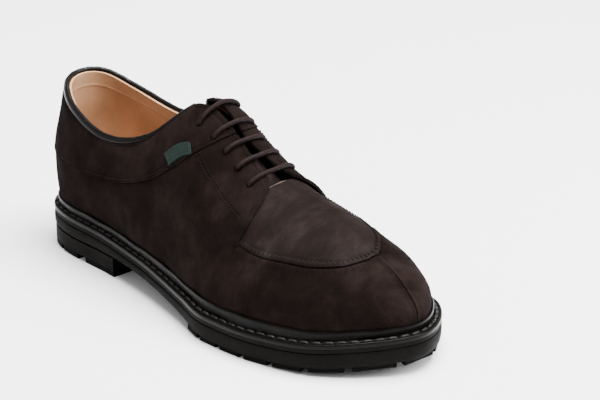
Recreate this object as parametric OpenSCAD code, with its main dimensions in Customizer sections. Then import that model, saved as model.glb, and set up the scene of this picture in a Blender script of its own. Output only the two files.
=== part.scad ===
// Right derby shoe with a split-toe apron front, storm welt and lugged rubber sole.
// Toe towards +X, outer (lateral) side towards -Y, ground at z = 0.

/* [Sizes] */
// Length of the sole from heel to toe
sole_length = 300; // [290:1:310]
// Thickness of the suede outer
upper_t = 1.6; // [1.4:0.1:1.7]
// Thickness of the linings
lining_t = 1.2; // [1:0.1:1.2]

/* [Sole] */
// Thickness of the welt's flange
welt_t = 2.5; // [2:0.1:2.5]
// Height of the welt's raised ridge
ridge_h = 6; // [5:0.5:6]
// Thickness of the midsole
midsole_t = 3; // [2.5:0.1:3]
// Height of the sole lugs
lug_h = 4.8; // [4:0.1:4.8]
// Thickness of the insole
insole_t = 3; // [2.5:0.1:3]

/* [Lacing] */
// Diameter of the lace
lace_d = 2.8; // [2.4:0.1:2.8]
// Diameter of the punched eyelets
eyelet_d = 4.4; // [4.2:0.1:4.6]

/* [Hidden] */

// The stations go round the shoe: 0 heel centre, 1 to 9 lateral side, 10 toe centre,
// 11 to 19 medial side. Station i and 20 - i face each other. Each row is
// [foot x, foot y, rise, bulge, top x, top y, top z, reach, tilt]: the wall leaves the
// welt at its foot, rising and bulging outwards, and arrives at its top from the side.
// From station 5 to 15 the tops lie on the centre ridge, elsewhere on the top line.
STATIONS = [
    [6,      0,    34, 10,   7,   0, 102,  3, -22],
    [13,    -19.5, 32,  8,  13, -15, 100,  4, -22],
    [33,    -28.5, 30,  8,  33, -26,  92,  5, -20],
    [70,    -31.5, 28,  7,  66, -31,  85,  5, -16],
    [106,   -36.5, 26,  7,  98, -26,  92,  9, -14],
    [134,   -42,   26,  7, 129,  -4, 116, 27, -11],
    [160,   -48.5, 24,  7, 160,  -2,  96, 34,  -2],
    [188,   -54.5, 21,  5, 192,   0,  80, 33,  -2],
    [224,   -52.5, 20,  4, 224,   1,  73, 28,  -3],
    [262.5, -39.5, 20,  5, 244,   2,  66, 24,  -8],
    [291.5,   0,   19,  7, 255,   3,  58, 20, -10],
    [265.5,  35.5, 20,  5, 244,   2,  66, 24,  -8],
    [226,    42.5, 20,  4, 224,   1,  73, 26,  -4],
    [186,    38.5, 20,  4, 192,   0,  80, 35,   0],
    [156,    30.5, 24,  4, 160,  -2,  96, 43,  -2],
    [132,    26,   26,  4, 129,  -4, 116, 37,  -2],
    [104,    25,   28,  5,  98,  24,  92,  9, -14],
    [69,     26.5, 28,  6,  66,  28,  85,  4, -16],
    [33,     26.5, 30,  7,  33,  24,  92,  5, -20],
    [13,     18.5, 32,  8,  13,  15, 100,  4, -22]
];
// How far the sole stands out from the foot of the wall, per station
OVERHANG = [
    [6.5], [6.5], [6.5], [6.5], [6.5], [7], [7.5], [8.5], [8.5], [8.5],
    [8.5], [8.5], [8.5], [7.5], [7], [6.5], [6.5], [6.5], [6.5], [6.5]
];
// Height of the welt's top, and of the outsole plate's underside, along the shoe
WELT_Z = [[0, 26], [60, 25], [110, 22], [150, 19], [182, 17.2], [220, 17.2], [260, 19.5], [300, 24]];
PLATE_Z = [[0, 12.5], [84, 12.5], [115, 10.5], [150, 7], [182, 4.8], [220, 4.8], [260, 7], [300, 11.5]];
// Seams as wall heights (0 foot, 1 top) over the station number: apron on both sides,
// collar, facing edge
APRON_V = [[6.6, 0.53], [7, 0.515], [7.5, 0.51], [8, 0.54], [8.5, 0.59], [9, 0.69], [9.4, 0.82],
    [9.7, 0.92], [10, 0.96]];
APRON_MEDIAL_V = [[7, 0.58], [7.5, 0.6], [8, 0.65], [8.5, 0.73], [9, 0.82], [9.4, 0.88], [9.7, 0.925],
    [10, 0.96]];
COLLAR_V = [[0, 0.42], [1, 0.41], [2, 0.43], [3, 0.51], [4, 0.57], [4.6, 0.553], [5.1, 0.6], [5.38, 0.69],
    [5.62, 0.82], [5.72, 0.95]];
FACING_V = [[4.7, 1], [4.95, 0.965], [5.4, 0.965], [5.8, 0.98], [6.3, 0.962], [6.7, 0.935], [6.82, 0.9],
    [6.93, 0.82], [6.99, 0.7], [7.02, 0.6], [7.05, 0.515]];
// Eyelets as [station, wall height], top to bottom
EYELETS = [[5.18, 0.84], [5.56, 0.85], [5.88, 0.86], [6.24, 0.848], [6.6, 0.826]];

EPS = 0.002;
HALF = 10;
ROUND = 20;
scale_k = sole_length / 300;
foot_v = 0.012;
top_v = 0.955;
seam_gap = 0.003;

// ---- shape of the shoe ----
function mix(a, b, t) = a + (b - a) * t;
function hermite(p, m, q, n, t) =
    (2 * t ^ 3 - 3 * t ^ 2 + 1) * p + (t ^ 3 - 2 * t ^ 2 + t) * m
    + (3 * t ^ 2 - 2 * t ^ 3) * q + (t ^ 3 - t ^ 2) * n;
function wrap(i) = (i % ROUND + ROUND) % ROUND;
// Distance from the heel centre in stations, the same on both sides
function side(u) = HALF - abs(wrap(u) - HALF);
function bend(a, b, c) = (b - a) * (c - b) > 0 ? (c - a) / 2 : 0;
// A row of a station table at a fractional station
function row(table, u) =
    let (i = floor(u), t = u - i)
    let (a = table[wrap(i - 1)], b = table[wrap(i)], c = table[wrap(i + 1)], d = table[wrap(i + 2)])
    [for (k = [0 : len(b) - 1]) hermite(b[k], bend(a[k], b[k], c[k]), c[k], bend(b[k], c[k], d[k]), t)];
// A smooth value from a table of [place, value] pairs
function grade(table, k) =
    let (a = table[max(k - 1, 0)], b = table[min(k + 1, len(table) - 1)])
    (b[1] - a[1]) / (b[0] - a[0]);
function curve(table, x) =
    let (last = len(table) - 1, p = min(max(x, table[0][0]), table[last][0]))
    let (i = min(max([for (k = [0 : last]) p >= table[k][0] ? k : 0]), last - 1))
    let (step = table[i + 1][0] - table[i][0])
    hermite(table[i][1], grade(table, i) * step, table[i + 1][1], grade(table, i + 1) * step,
        (p - table[i][0]) / step);
// Straight values between the pairs of a table
function line(table, x) = lookup(x, table);

function foot(u) = let (r = row(STATIONS, u)) [r[0], r[1]];
function outward(u) =
    let (d = foot(u + EPS) - foot(u - EPS))
    [d.y, -d.x] / norm(d);
// The wall's four control points at a station
function wall(u) =
    let (r = row(STATIONS, u), n = outward(u), z = curve(WELT_Z, r[0]))
    [
        [r[0], r[1], z],
        [r[0] + n.x * r[3], r[1] + n.y * r[3], z + r[2]],
        [r[4] + n.x * r[7], r[5] + n.y * r[7], r[6] + r[8]],
        [r[4], r[5], r[6]]
    ];
function along(c, v) =
    (1 - v) ^ 3 * c[0] + 3 * (1 - v) ^ 2 * v * c[1] + 3 * (1 - v) * v ^ 2 * c[2] + v ^ 3 * c[3];
function unit(a) = a / norm(a);
function normals(u, vs) =
    let (c = wall(u), a = wall(u - EPS), b = wall(u + EPS))
    [for (v = vs) unit(cross(along(b, v) - along(a, v),
        along(c, min(v + EPS, 1)) - along(c, max(v - EPS, 0))))];
// Points of one station at heights vs, at distance off outside the wall
function column(u, vs, off) =
    let (c = wall(u), n = normals(u, vs))
    [for (j = [0 : len(vs) - 1]) scale_k * along(c, vs[j]) + off * n[j]];
function skin_point(u, v, off) = column(u, [v], off)[0];
function steps(a, b, n) = [for (j = [0 : n]) mix(a, b, j / n)];
function flip(us) = [for (i = [len(us) - 1 : -1 : 0]) ROUND - us[i]];

// One side's sheet: a grid of points over stations us, between two heights
function sheet_grid(us, n, low, high, off) =
    [for (u = us) column(u, steps(low(side(u)), high(side(u)), n), off)];
// A sheet across the ridge, from the lateral height low over the top to the medial one
function over_grid(us, n, low, off) = [for (u = us)
    let (vs = steps(low(u), 1, n), o = off(u))
    let (a = column(u, vs, o), b = column(ROUND - u, steps(low(ROUND - u), 1, n), o))
    concat([for (j = [0 : n - 1]) a[j]], [(a[n] + b[n]) / 2], [for (j = [n - 1 : -1 : 0]) b[j]])];

// ---- plan of the sole ----
function edge(u, inset) =
    scale_k * (foot(u) + outward(u) * (row(OVERHANG, u)[0] - inset / scale_k));
welt_z = function (x) scale_k * curve(WELT_Z, x / scale_k);
plate_z = function (x) scale_k * curve(PLATE_Z, x / scale_k);
function floor_z(x) = max(plate_z(x) - lug_h, 0);
SOLE_U = concat([for (u = [0.1 : 0.2 : 1.9]) u], [for (u = [2.2 : 0.4 : 7.8]) u],
    [for (u = [8.1 : 0.3 : 9]) u], [for (u = [9.15 : 0.15 : 9.75]) u], [9.85, 9.95]);
// Middle of the sole's outline, moved to the origin
OUTLINE = [for (u = [0 : 0.05 : 19.95]) edge(u, 0)];
MIDDLE = [
    (min([for (p = OUTLINE) p.x]) + max([for (p = OUTLINE) p.x])) / 2,
    (min([for (p = OUTLINE) p.y]) + max([for (p = OUTLINE) p.y])) / 2, 0];

// ---- solids ----
function quad(a, b, c, d) = [[a, b, c], [a, c, d]];
// A closed sheet between two grids of points of the same size
module sheet(outer, inner) {
    m = len(outer) - 1;
    n = len(outer[0]) - 1;
    half = (m + 1) * (n + 1);
    function o(i, j) = i * (n + 1) + j;
    function q(i, j) = half + o(i, j);
    points = [for (grid = [outer, inner], strip = grid, p = strip) p - MIDDLE];
    faces = concat(
        [for (i = [0 : m - 1], j = [0 : n - 1])
            each quad(o(i, j), o(i, j + 1), o(i + 1, j + 1), o(i + 1, j))],
        [for (i = [0 : m - 1], j = [0 : n - 1])
            each quad(q(i, j), q(i + 1, j), q(i + 1, j + 1), q(i, j + 1))],
        [for (i = [0 : m - 1]) each quad(o(i, 0), o(i + 1, 0), q(i + 1, 0), q(i, 0))],
        [for (i = [0 : m - 1]) each quad(o(i + 1, n), o(i, n), q(i, n), q(i + 1, n))],
        [for (j = [0 : n - 1]) each quad(o(0, j + 1), o(0, j), q(0, j), q(0, j + 1))],
        [for (j = [0 : n - 1]) each quad(o(m, j), o(m, j + 1), q(m, j + 1), q(m, j))]);
    polyhedron(points, faces);
}
// One piece of leather on the wall, from distance inside to distance outside of it
module piece(us, n, low, high, inside, outside) {
    sheet(sheet_grid(us, n, low, high, outside), sheet_grid(us, n, low, high, inside));
}
// A layer of the sole over stations us on both sides, between two heights
module layer(us, inset, top, bottom) {
    function ring(u, z) = let (p = edge(u, inset)) [p.x, p.y, z(p.x)];
    function pair(u, z) = [ring(u, z), ring(ROUND - u, z)];
    sheet([for (u = us) pair(u, top)], [for (u = us) pair(u, bottom)]);
}
// A round tube through the points of a path
module tube(path, r, sides) {
    last = len(path) - 1;
    function heading(i) = unit(path[min(i + 1, last)] - path[max(i - 1, 0)]);
    function square_to(n, t) = unit(n - (n * t) * t);
    start = square_to([0.31, 0.22, 0.93], heading(0));
    frames = [for (i = 0, n = start; i <= last; i = i + 1, n = square_to(n, heading(min(i, last)))) n];
    function ring(i) = let (t = heading(i), b = cross(t, frames[i]))
        [for (k = [0 : sides - 1]) let (a = 360 * k / sides) path[i] + r * (cos(a) * frames[i] + sin(a) * b)];
    function at(i, k) = i * sides + k % sides;
    points = [for (i = [0 : last], p = ring(i)) p - MIDDLE];
    faces = concat(
        [for (i = [0 : last - 1], k = [0 : sides - 1])
            each quad(at(i, k), at(i + 1, k), at(i + 1, k + 1), at(i, k + 1))],
        [[for (k = [0 : sides - 1]) k]],
        [[for (k = [sides - 1 : -1 : 0]) at(last, k)]]);
    polyhedron(points, faces);
}

// ---- sole unit ----
seat_gap = 0.1;
midsole_top = function (x) welt_z(x) - welt_t;
outsole_top = function (x) midsole_top(x) - midsole_t;
// A rubber block between four plan points, from the ground side up into the plate
module lug(corners) {
    function at(p, z) = [p.x, p.y, z];
    top = [for (p = corners) at(p, plate_z(p.x) + 0.6)];
    low = [for (p = corners) at(p, floor_z(p.x))];
    sheet([[top[0], top[1]], [top[3], top[2]]], [[low[0], low[1]], [low[3], low[2]]]);
}
module edge_lug(u0, u1, near, far) {
    lug([edge(u0, near), edge(u0, far), edge(u1, far), edge(u1, near)]);
}
module centre_lug(u0, u1, a, b, inset) {
    function across(u, t) = mix(edge(u, inset), edge(ROUND - u, inset), t);
    lug([across(u0, a), across(u0, b), across(u1, b), across(u1, a)]);
}
module outsole() {
    color("#2b2725")
        union() {
            layer(SOLE_U, 0, outsole_top, plate_z);
            for (u = [6.3 : 0.5 : 13.3])
                edge_lug(u, u + 0.36, 3, 14);
            for (u = [6.5 : 0.5 : 8.6]) {
                centre_lug(u, u + 0.3, 0.04, 0.46, 18);
                centre_lug(u + 0.1, u + 0.4, 0.54, 0.96, 18);
            }
        }
}
heel_top = 12.4 * scale_k;
HEEL_U = [for (u = SOLE_U) if (u < 3.3) u];
module heel_block() {
    heel_split = 3.5;
    lug_inset = 1;
    top = function (x) heel_top;
    middle = function (x) heel_split;
    lug_top = function (x) heel_split + 0.6;
    ground = function (x) 0;
    color("#2b2725")
        difference() {
            union() {
                layer(HEEL_U, 0.6, top, middle);
                for (span = [[0, 0.8], [0.9, 1.7], [1.8, 2.3], [2.5, 3.3]])
                    layer([for (u = HEEL_U) if (u > span[0] && u < span[1]) u], lug_inset, lug_top, ground);
            }
            nail_set(nail_r, -1, heel_top + 1);
        }
}
nail_r = 1;
NAILS = [for (p = [[20, 0], [32, -13], [32, 12], [58, -15], [58, 13]]) scale_k * p];
module nail_set(r, from, to) {
    for (p = NAILS)
        translate([p.x - MIDDLE.x, p.y - MIDDLE.y, from])
            cylinder(h = to - from, r = r, $fn = 24);
}
module heel_nails() {
    color("#b8b4ad") nail_set(nail_r - 0.05, heel_top / 2, heel_top - 0.1);
}
module midsole() {
    color("#33291f") layer(SOLE_U, 0.3, function (x) midsole_top(x) - seat_gap, outsole_top);
}
// Outline of the welt's section at a station, from the lip over the ridge to the inside
function welt_section(u) =
    let (f = scale_k * foot(u), n = outward(u), w = scale_k * row(OVERHANG, u)[0])
    let (v = ridge_h / (3 * row(STATIONS, u)[2]))
    let (inner = upper_t + 0.7, ridge_w = 1.2, flange = 5)
    let (a = skin_point(u, 0, inner), b = skin_point(u, v, inner), c = skin_point(u, v, inner + ridge_w))
    let (ridge = (a - [f.x, f.y, a.z]) * [n.x, n.y, 0] + ridge_w + 0.2)
    let (at = function (out, up) let (p = f + out * n) [p.x, p.y, welt_z(p.x) + up])
    [
        at(w, -welt_t), at(w, 0), at(w - 1.4, 0.3), at(w - 1.9, -0.3), at(ridge, 0.8), c, b,
        [a.x, a.y, welt_z(a.x)], at(-flange, 0), at(-flange, -welt_t)
    ];
module welt() {
    count = 72;
    rings = [for (i = [0 : count - 1]) welt_section(ROUND * i / count)];
    corners = len(rings[0]);
    function at(i, k) = (i % count) * corners + k % corners;
    color("#3a2d28")
        polyhedron([for (r = rings, p = r) p - MIDDLE],
            [for (i = [0 : count - 1], k = [0 : corners - 1])
                each quad(at(i, k), at(i, k + 1), at(i + 1, k + 1), at(i + 1, k))]);
}
module welt_stitching() {
    pitch = 0.225;
    groove_mid = 2.3;
    half_w = 0.35;
    function spot(u, out, up) = let (w = scale_k * row(OVERHANG, u)[0])
        let (p = scale_k * foot(u) + (w - groove_mid + out) * outward(u)) [p.x, p.y, welt_z(p.x) + up];
    color("#1c1715")
        for (u = [0 : pitch : ROUND - pitch])
            sheet([for (s = [u, u + 0.8 * pitch]) [spot(s, -half_w, 1.4), spot(s, half_w, 1.4)]],
                [for (s = [u, u + 0.8 * pitch]) [spot(s, -half_w, 0.9), spot(s, half_w, 0.5)]]);
}
module cork_filler() {
    color("#a9825a")
        layer([for (u = SOLE_U) if (u > 6) u], 14.3, function (x) welt_z(x) - 0.1,
            function (x) midsole_top(x) + 0.3);
}
// The steel shank stiffens the waist, between heel and ball
module shank() {
    middle_y = -2;
    half_w = 6;
    function strip(up) = [for (t = [50 : 10 : 140]) let (x = scale_k * t)
        [for (y = [-half_w, half_w]) [x, middle_y + y, midsole_top(x) + up]]];
    color("#8d9196") sheet(strip(1.4), strip(0.2));
}
INSOLE_INSET = 10.5;
module insole() {
    color("#b98a5e")
        layer(SOLE_U, INSOLE_INSET, function (x) welt_z(x) + insole_t, function (x) welt_z(x) + 0.1);
}
module sock_lining() {
    color("#c99a68")
        layer(SOLE_U, INSOLE_INSET + 1, function (x) welt_z(x) + insole_t + 1.1,
            function (x) welt_z(x) + insole_t + 0.1);
}

// ---- inside of the upper ----
// Distances from the wall to the layers inside it, outwards positive
backing_out = -0.6;
backing_in = -1.5;
lining_out = -1.9;
vamp_lining_out = -2.2;
tongue_top = -5.6;
tongue_t = 1.5;
lining_foot = 0.08;
foot_edge = function (u) foot_v;
module heel_counter() {
    color("#7a6a58")
        piece([-2.8 : 0.35 : 2.8], 5, function (u) 0.05, function (u) 0.5 - 0.03 * u, backing_in, backing_out);
}
module toe_puff() {
    color("#7a6a58")
        piece([8.7 : 0.2 : 11.3], 4, function (u) lining_foot, function (u) 0.6, backing_in, backing_out - 0.2);
}
module vamp_lining() {
    us = concat([6.75], [each [7 : 0.25 : 9.5]], [9.65, 9.8, 9.9]);
    low = function (u) lining_foot;
    color("#6d6259")
        sheet(over_grid(us, 7, low, function (u) vamp_lining_out),
            over_grid(us, 7, low, function (u) vamp_lining_out - lining_t));
}
// The rear lining stops under the eyelet rows
lining_high = function (u) line([[0, top_v], [4.6, top_v], [4.9, 0.74], [5.7, 0.72]], u);
module quarter_lining() {
    us = concat([-5.7, -5.3, -4.9, -4.75, -4.6], [each [-4.3 : 0.3 : 4.3]], [4.6, 4.75, 4.9, 5.3, 5.7]);
    color("#cf9c67")
        piece(us, 7, function (u) lining_foot, lining_high, lining_out - lining_t, lining_out);
}
FACING_U = [4.98, 5.2, 5.5, 5.8, 6.1, 6.4, 6.6, 6.7];
function facing_edge(u) = line(FACING_V, u);
module facing_backing(us) {
    piece(us, 4, function (u) 0.77, function (u) facing_edge(u) - 0.012, backing_in, backing_out);
}
module facing_lining_lateral() {
    color("#3b2f2c") difference() {
        facing_backing(FACING_U);
        eyelet_holes(false);
    }
}
module facing_lining_medial() {
    color("#3b2f2c") difference() {
        facing_backing(flip(FACING_U));
        eyelet_holes(true);
    }
}

// ---- upper ----
// The five punched eyelets of one side
module eyelet_holes(medial) {
    depth = 6;
    for (e = EYELETS) {
        u = medial ? ROUND - e[0] : e[0];
        centre = skin_point(u, e[1], 0) - MIDDLE;
        n = normals(u, [e[1]])[0];
        turn = [0, acos(n.z), atan2(n.y, n.x)];
        translate(centre)
            rotate(turn)
                cylinder(h = depth, d = eyelet_d, center = true, $fn = 24);
    }
}
collar_front = 5.72;
function collar_seam(u) = curve(COLLAR_V, u);
function apron_seam(u) = u > HALF ? curve(APRON_MEDIAL_V, ROUND - u) : curve(APRON_V, u);
// Top of the side panel: collar seam, then the facing's edge, then the apron seam
function side_high(u, medial) =
    let (seam = apron_seam(medial ? ROUND - max(u, 7.05) : max(u, 7.05)) - seam_gap)
    u < collar_front ? collar_seam(u) - seam_gap : u < 7.05 ? max(facing_edge(u), seam) : seam;
SIDE_U = concat([0.36], [each [0.7 : 0.4 : 5.1]], [5.4, 5.6, 5.66, 5.71, 5.73, 6, 6.25, 6.5, 6.7],
    [6.82, 6.88, 6.93, 6.96, 6.99, 7.02, 7.049], [each [7.25 : 0.25 : 9.25]], [9.4, 9.55, 9.7, 9.82, 9.91, 9.97]);
module side_panel(us, medial) {
    difference() {
        piece(us, 8, foot_edge, function (u) side_high(u, medial), 0, upper_t);
        eyelet_holes(medial);
    }
}
module side_lateral() {
    color("#4d3f3b") side_panel(SIDE_U, false);
}
module side_medial() {
    color("#4d3f3b") side_panel(flip(SIDE_U), true);
}
COLLAR_U = concat([0.36], [each [0.7 : 0.35 : 4.55]], [4.7, 4.82, 4.95, 5.08, 5.2, 5.4, 5.6, 5.66, 5.71]);
collar_high = function (u) min(top_v, line(FACING_V, u));
module collar_panel(us, medial) {
    difference() {
        piece(us, 6, function (u) collar_seam(u) + seam_gap, collar_high, 0, upper_t);
        eyelet_holes(medial);
    }
}
module collar_lateral() {
    color("#4a3c39") collar_panel(COLLAR_U, false);
}
module collar_medial() {
    color("#4a3c39") collar_panel(flip(COLLAR_U), true);
}
module backstay() {
    color("#453835") piece([-0.33 : 0.165 : 0.33], 10, foot_edge, function (u) top_v, 0, upper_t);
}
module heel_tab() {
    tab_out = upper_t + 0.9;
    color("#1d1614")
        piece([-0.5 : 0.125 : 0.5], 3, function (u) 0.82 + 0.2 * u, function (u) 0.95,
            upper_t + 0.1, tab_out);
}
module topline_binding() {
    r = 1.5;
    color("#1d1614")
        tube([for (u = steps(4.72, -4.72, 52)) skin_point(u, 1, -0.5) + [0, 0, 0.35]], r, 8);
}
// The apron dips under the facings at its rear
function apron_out(u) = curve([[6.7, -0.2], [7.06, -0.2], [7.4, 1], [10, 1.1]], u);
APRON_U = concat([6.8, 6.92, 7.06, 7.18, 7.4], [each [7.65 : 0.25 : 9.4]], [9.55, 9.7, 9.82, 9.88]);
module apron() {
    rows = 6;
    low = function (u) apron_seam(u) + seam_gap;
    // the grid ends with a row along the seam round the tip
    function grid(drop) =
        let (tip = function (u) skin_point(u, low(u), apron_out(HALF) - drop))
        concat(over_grid(APRON_U, rows, low, function (u) apron_out(u) - drop),
            [[for (u = steps(9.9, 10.1, 2 * rows)) tip(u)]]);
    color("#54453f") sheet(grid(0), grid(upper_t));
}
module apron_stitching() {
    r = 0.45;
    color("#1c1715")
        tube([for (u = [7.15 : 0.2 : 12.85]) skin_point(u, apron_seam(u), upper_t + r + 0.15)], r, 6);
}
module side_label() {
    // corners in stations and heights: rear top, front top, rear bottom, front bottom
    a = [4.67, 0.66];
    b = [5.24, 0.728];
    c = [4.9, 0.58];
    d = [5.4, 0.69];
    function at(s, t) = mix(mix(c, d, s), mix(a, b, s), t);
    function grid(off) = [for (s = [0 : 0.2 : 1])
        [for (t = [0 : 0.5 : 1]) let (p = at(s, t)) skin_point(p[0], p[1], off)]];
    color("#2f6f5c") sheet(grid(upper_t + 0.8), grid(upper_t + 0.15));
}

// ---- tongue and lace ----
// The tongue lies under the wall, towards the ridge straight under it.
// Behind station 5.1 it carries straight on, curls down and narrows.
function tongue_half(u, off) =
    let (vs = steps(tongue_low(side(u)), 1, TONGUE_ROWS), c = wall(u), n = normals(u, vs))
    [for (j = [0 : TONGUE_ROWS])
        scale_k * along(c, vs[j]) + off * unit(mix(n[j], [0, 0, 1], j / TONGUE_ROWS))];
function tongue_strip(u, off) =
    let (a = tongue_half(u, off), b = tongue_half(ROUND - u, off), n = TONGUE_ROWS)
    concat([for (j = [0 : n - 1]) a[j]], [(a[n] + b[n]) / 2], [for (j = [n - 1 : -1 : 0]) b[j]]);
function tongue_grid(off) =
    let (edge_u = 5.1, next_u = 5.5, curl = 6, narrow = 0.15, rows = [0 : 2 * TONGUE_ROWS])
    let (start = tongue_strip(edge_u, off), a = tongue_strip(edge_u, tongue_top))
    let (b = tongue_strip(next_u, tongue_top))
    let (behind = function (t) [for (j = rows) start[j] + (a[j] - b[j]) * t - [0, 0, curl * t * t]])
    let (narrowed = function (p, t)
        [for (q = p) [q.x, mix(q.y, p[TONGUE_ROWS].y, narrow * t), q.z]])
    [for (u = TONGUE_U) let (t = (edge_u - u) / (next_u - edge_u))
        t > 0 ? narrowed(behind(t), t) : tongue_strip(u, off)];
TONGUE_U = [4.4, 4.55, 4.7, 4.85, 5, 5.1, 5.3, 5.6, 5.9, 6.2, 6.5, 6.72];
TONGUE_ROWS = 6;
tongue_low = function (u) line([[5.1, 0.78], [6.72, 0.78]], u);
module tongue() {
    color("#4d3f3b") sheet(tongue_grid(tongue_top), tongue_grid(tongue_top - tongue_t));
}
module tongue_lining() {
    top = tongue_top - tongue_t - 0.1;
    color("#c9966a") sheet(tongue_grid(top), tongue_grid(top - lining_t + 0.2));
}
// The lace's route as [station, wall height, distance outside the wall]. It runs from
// the lateral tail through the first lateral eyelet and out of the second medial one.
inside = -3.25;
over = upper_t + 0.2 + lace_d / 2;
function thread_in(u, v) = [[u, v, over - 0.6], [u, v, 0.3], [u, v, -2.4]];
function thread_out(u, v) = [for (i = [2 : -1 : 0]) thread_in(u, v)[i]];
function bar(e) = [
    [e[0], e[1] + 0.04, over + 0.3], [e[0], 0.93, over + 0.3], [e[0], 0.98, over + 0.2],
    [ROUND - e[0], 0.98, over + 0.2], [ROUND - e[0], 0.93, over + 0.3],
    [ROUND - e[0], e[1] + 0.04, over + 0.3]];
function back(route) = [for (i = [len(route) - 1 : -1 : 0]) route[i]];
function lat(k) = EYELETS[k];
function med(k) = [ROUND - EYELETS[k][0], EYELETS[k][1]];
// A stretch behind the facing between two eyelets, at wall height v
function behind(a, b, v) = [
    [mix(a[0], b[0], 0.2), mix(a[1], v, 0.6), inside], [mix(a[0], b[0], 0.5), v, inside],
    [mix(a[0], b[0], 0.8), mix(b[1], v, 0.6), inside]];
tail_v = 0.775;
TAIL_LATERAL = [[5.85, tail_v, inside], [5.6, tail_v, inside], [5.3, 0.79, inside]];
TAIL_MEDIAL = [[14.4, 0.79, inside], [14.15, tail_v, inside], [13.85, tail_v, inside]];
ROUTE = concat(
    TAIL_LATERAL, thread_out(lat(0)[0], lat(0)[1]), bar(lat(0)), thread_in(med(0)[0], med(0)[1]),
    behind(med(0), med(2), 0.895), thread_out(med(2)[0], med(2)[1]), back(bar(lat(2))),
    thread_in(lat(2)[0], lat(2)[1]), behind(lat(2), lat(4), 0.895), thread_out(lat(4)[0], lat(4)[1]),
    bar(lat(4)), thread_in(med(4)[0], med(4)[1]), behind(med(4), med(3), 0.81),
    thread_out(med(3)[0], med(3)[1]), back(bar(lat(3))), thread_in(lat(3)[0], lat(3)[1]),
    behind(lat(3), lat(1), 0.81), thread_out(lat(1)[0], lat(1)[1]), bar(lat(1)),
    thread_in(med(1)[0], med(1)[1]), TAIL_MEDIAL);
LACE_PATH = [for (r = ROUTE) skin_point(r[0], r[1], r[2])];
module lace() {
    color("#3f2a25") tube(LACE_PATH, lace_d / 2, 8);
}
module aglets() {
    aglet_l = 12;
    last = len(LACE_PATH) - 1;
    for (pair = [[LACE_PATH[1], LACE_PATH[0]], [LACE_PATH[last - 1], LACE_PATH[last]]]) {
        d = unit(pair[1] - pair[0]);
        color("#2a1c18")
            translate(pair[1] - MIDDLE)
                rotate([0, acos(d.z), atan2(d.y, d.x)])
                    cylinder(h = aglet_l, d = lace_d - 0.2, $fn = 24);
    }
}

outsole();
heel_block();
heel_nails();
midsole();
welt();
welt_stitching();
cork_filler();
shank();
insole();
sock_lining();
heel_counter();
toe_puff();
vamp_lining();
quarter_lining();
facing_lining_lateral();
facing_lining_medial();
side_lateral();
side_medial();
collar_lateral();
collar_medial();
backstay();
heel_tab();
topline_binding();
apron();
apron_stitching();
side_label();
tongue();
tongue_lining();
lace();
aglets();
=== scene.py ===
"""Looks of the right derby shoe: suede upper, storm welt, lugged rubber sole, laces."""
import math

import bmesh
import bpy
import numpy as np
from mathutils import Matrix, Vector
from mathutils.kdtree import KDTree


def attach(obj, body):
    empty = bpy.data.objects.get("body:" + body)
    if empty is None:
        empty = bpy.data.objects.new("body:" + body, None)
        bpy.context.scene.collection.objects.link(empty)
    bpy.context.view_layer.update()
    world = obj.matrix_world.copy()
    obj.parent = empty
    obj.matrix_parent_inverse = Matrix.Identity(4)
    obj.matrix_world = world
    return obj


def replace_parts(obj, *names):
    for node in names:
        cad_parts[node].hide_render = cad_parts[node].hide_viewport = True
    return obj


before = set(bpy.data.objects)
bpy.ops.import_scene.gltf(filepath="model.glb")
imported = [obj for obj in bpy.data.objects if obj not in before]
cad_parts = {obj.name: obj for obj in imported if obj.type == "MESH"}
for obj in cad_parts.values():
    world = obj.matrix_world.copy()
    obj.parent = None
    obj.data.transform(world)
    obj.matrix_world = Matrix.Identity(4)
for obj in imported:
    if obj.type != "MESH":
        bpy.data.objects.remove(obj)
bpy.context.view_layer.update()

rng = np.random.default_rng(7)

MM = 0.001
SHOE = "shoe"
TONGUE = "tongue"

# ---------------------------------------------------------------- shape of the shoe, mm
# Stations as in the CAD: 0 heel centre, 1 to 9 lateral, 10 toe centre, 11 to 19 medial.
# foot x, foot y, rise, bulge, top x, top y, top z, reach, tilt
STATIONS = np.array([
    [6, 0, 34, 10, 7, 0, 102, 3, -22],
    [13, -19.5, 32, 8, 13, -15, 100, 4, -22],
    [33, -28.5, 30, 8, 33, -26, 92, 5, -20],
    [70, -31.5, 28, 7, 66, -31, 85, 5, -16],
    [106, -36.5, 26, 7, 98, -26, 92, 9, -14],
    [134, -42, 26, 7, 129, -4, 116, 27, -11],
    [160, -48.5, 24, 7, 160, -2, 96, 34, -2],
    [188, -54.5, 21, 5, 192, 0, 80, 33, -2],
    [224, -52.5, 20, 4, 224, 1, 73, 28, -3],
    [262.5, -39.5, 20, 5, 244, 2, 66, 24, -8],
    [291.5, 0, 19, 7, 255, 3, 58, 20, -10],
    [265.5, 35.5, 20, 5, 244, 2, 66, 24, -8],
    [226, 42.5, 20, 4, 224, 1, 73, 26, -4],
    [186, 38.5, 20, 4, 192, 0, 80, 35, 0],
    [156, 30.5, 24, 4, 160, -2, 96, 43, -2],
    [132, 26, 26, 4, 129, -4, 116, 37, -2],
    [104, 25, 28, 5, 98, 24, 92, 9, -14],
    [69, 26.5, 28, 6, 66, 28, 85, 4, -16],
    [33, 26.5, 30, 7, 33, 24, 92, 5, -20],
    [13, 18.5, 32, 8, 13, 15, 100, 4, -22]], float)
OVERHANG = np.array([6.5, 6.5, 6.5, 6.5, 6.5, 7, 7.5, 8.5, 8.5, 8.5,
                     8.5, 8.5, 8.5, 7.5, 7, 6.5, 6.5, 6.5, 6.5, 6.5])[:, None]
WELT_Z = np.array([[0, 26], [60, 25], [110, 22], [150, 19], [182, 17.2], [220, 17.2], [260, 19.5], [300, 24]])
PLATE_Z = np.array([[0, 12.5], [84, 12.5], [115, 10.5], [150, 7], [182, 4.8], [220, 4.8], [260, 7],
                    [300, 11.5]])
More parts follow.
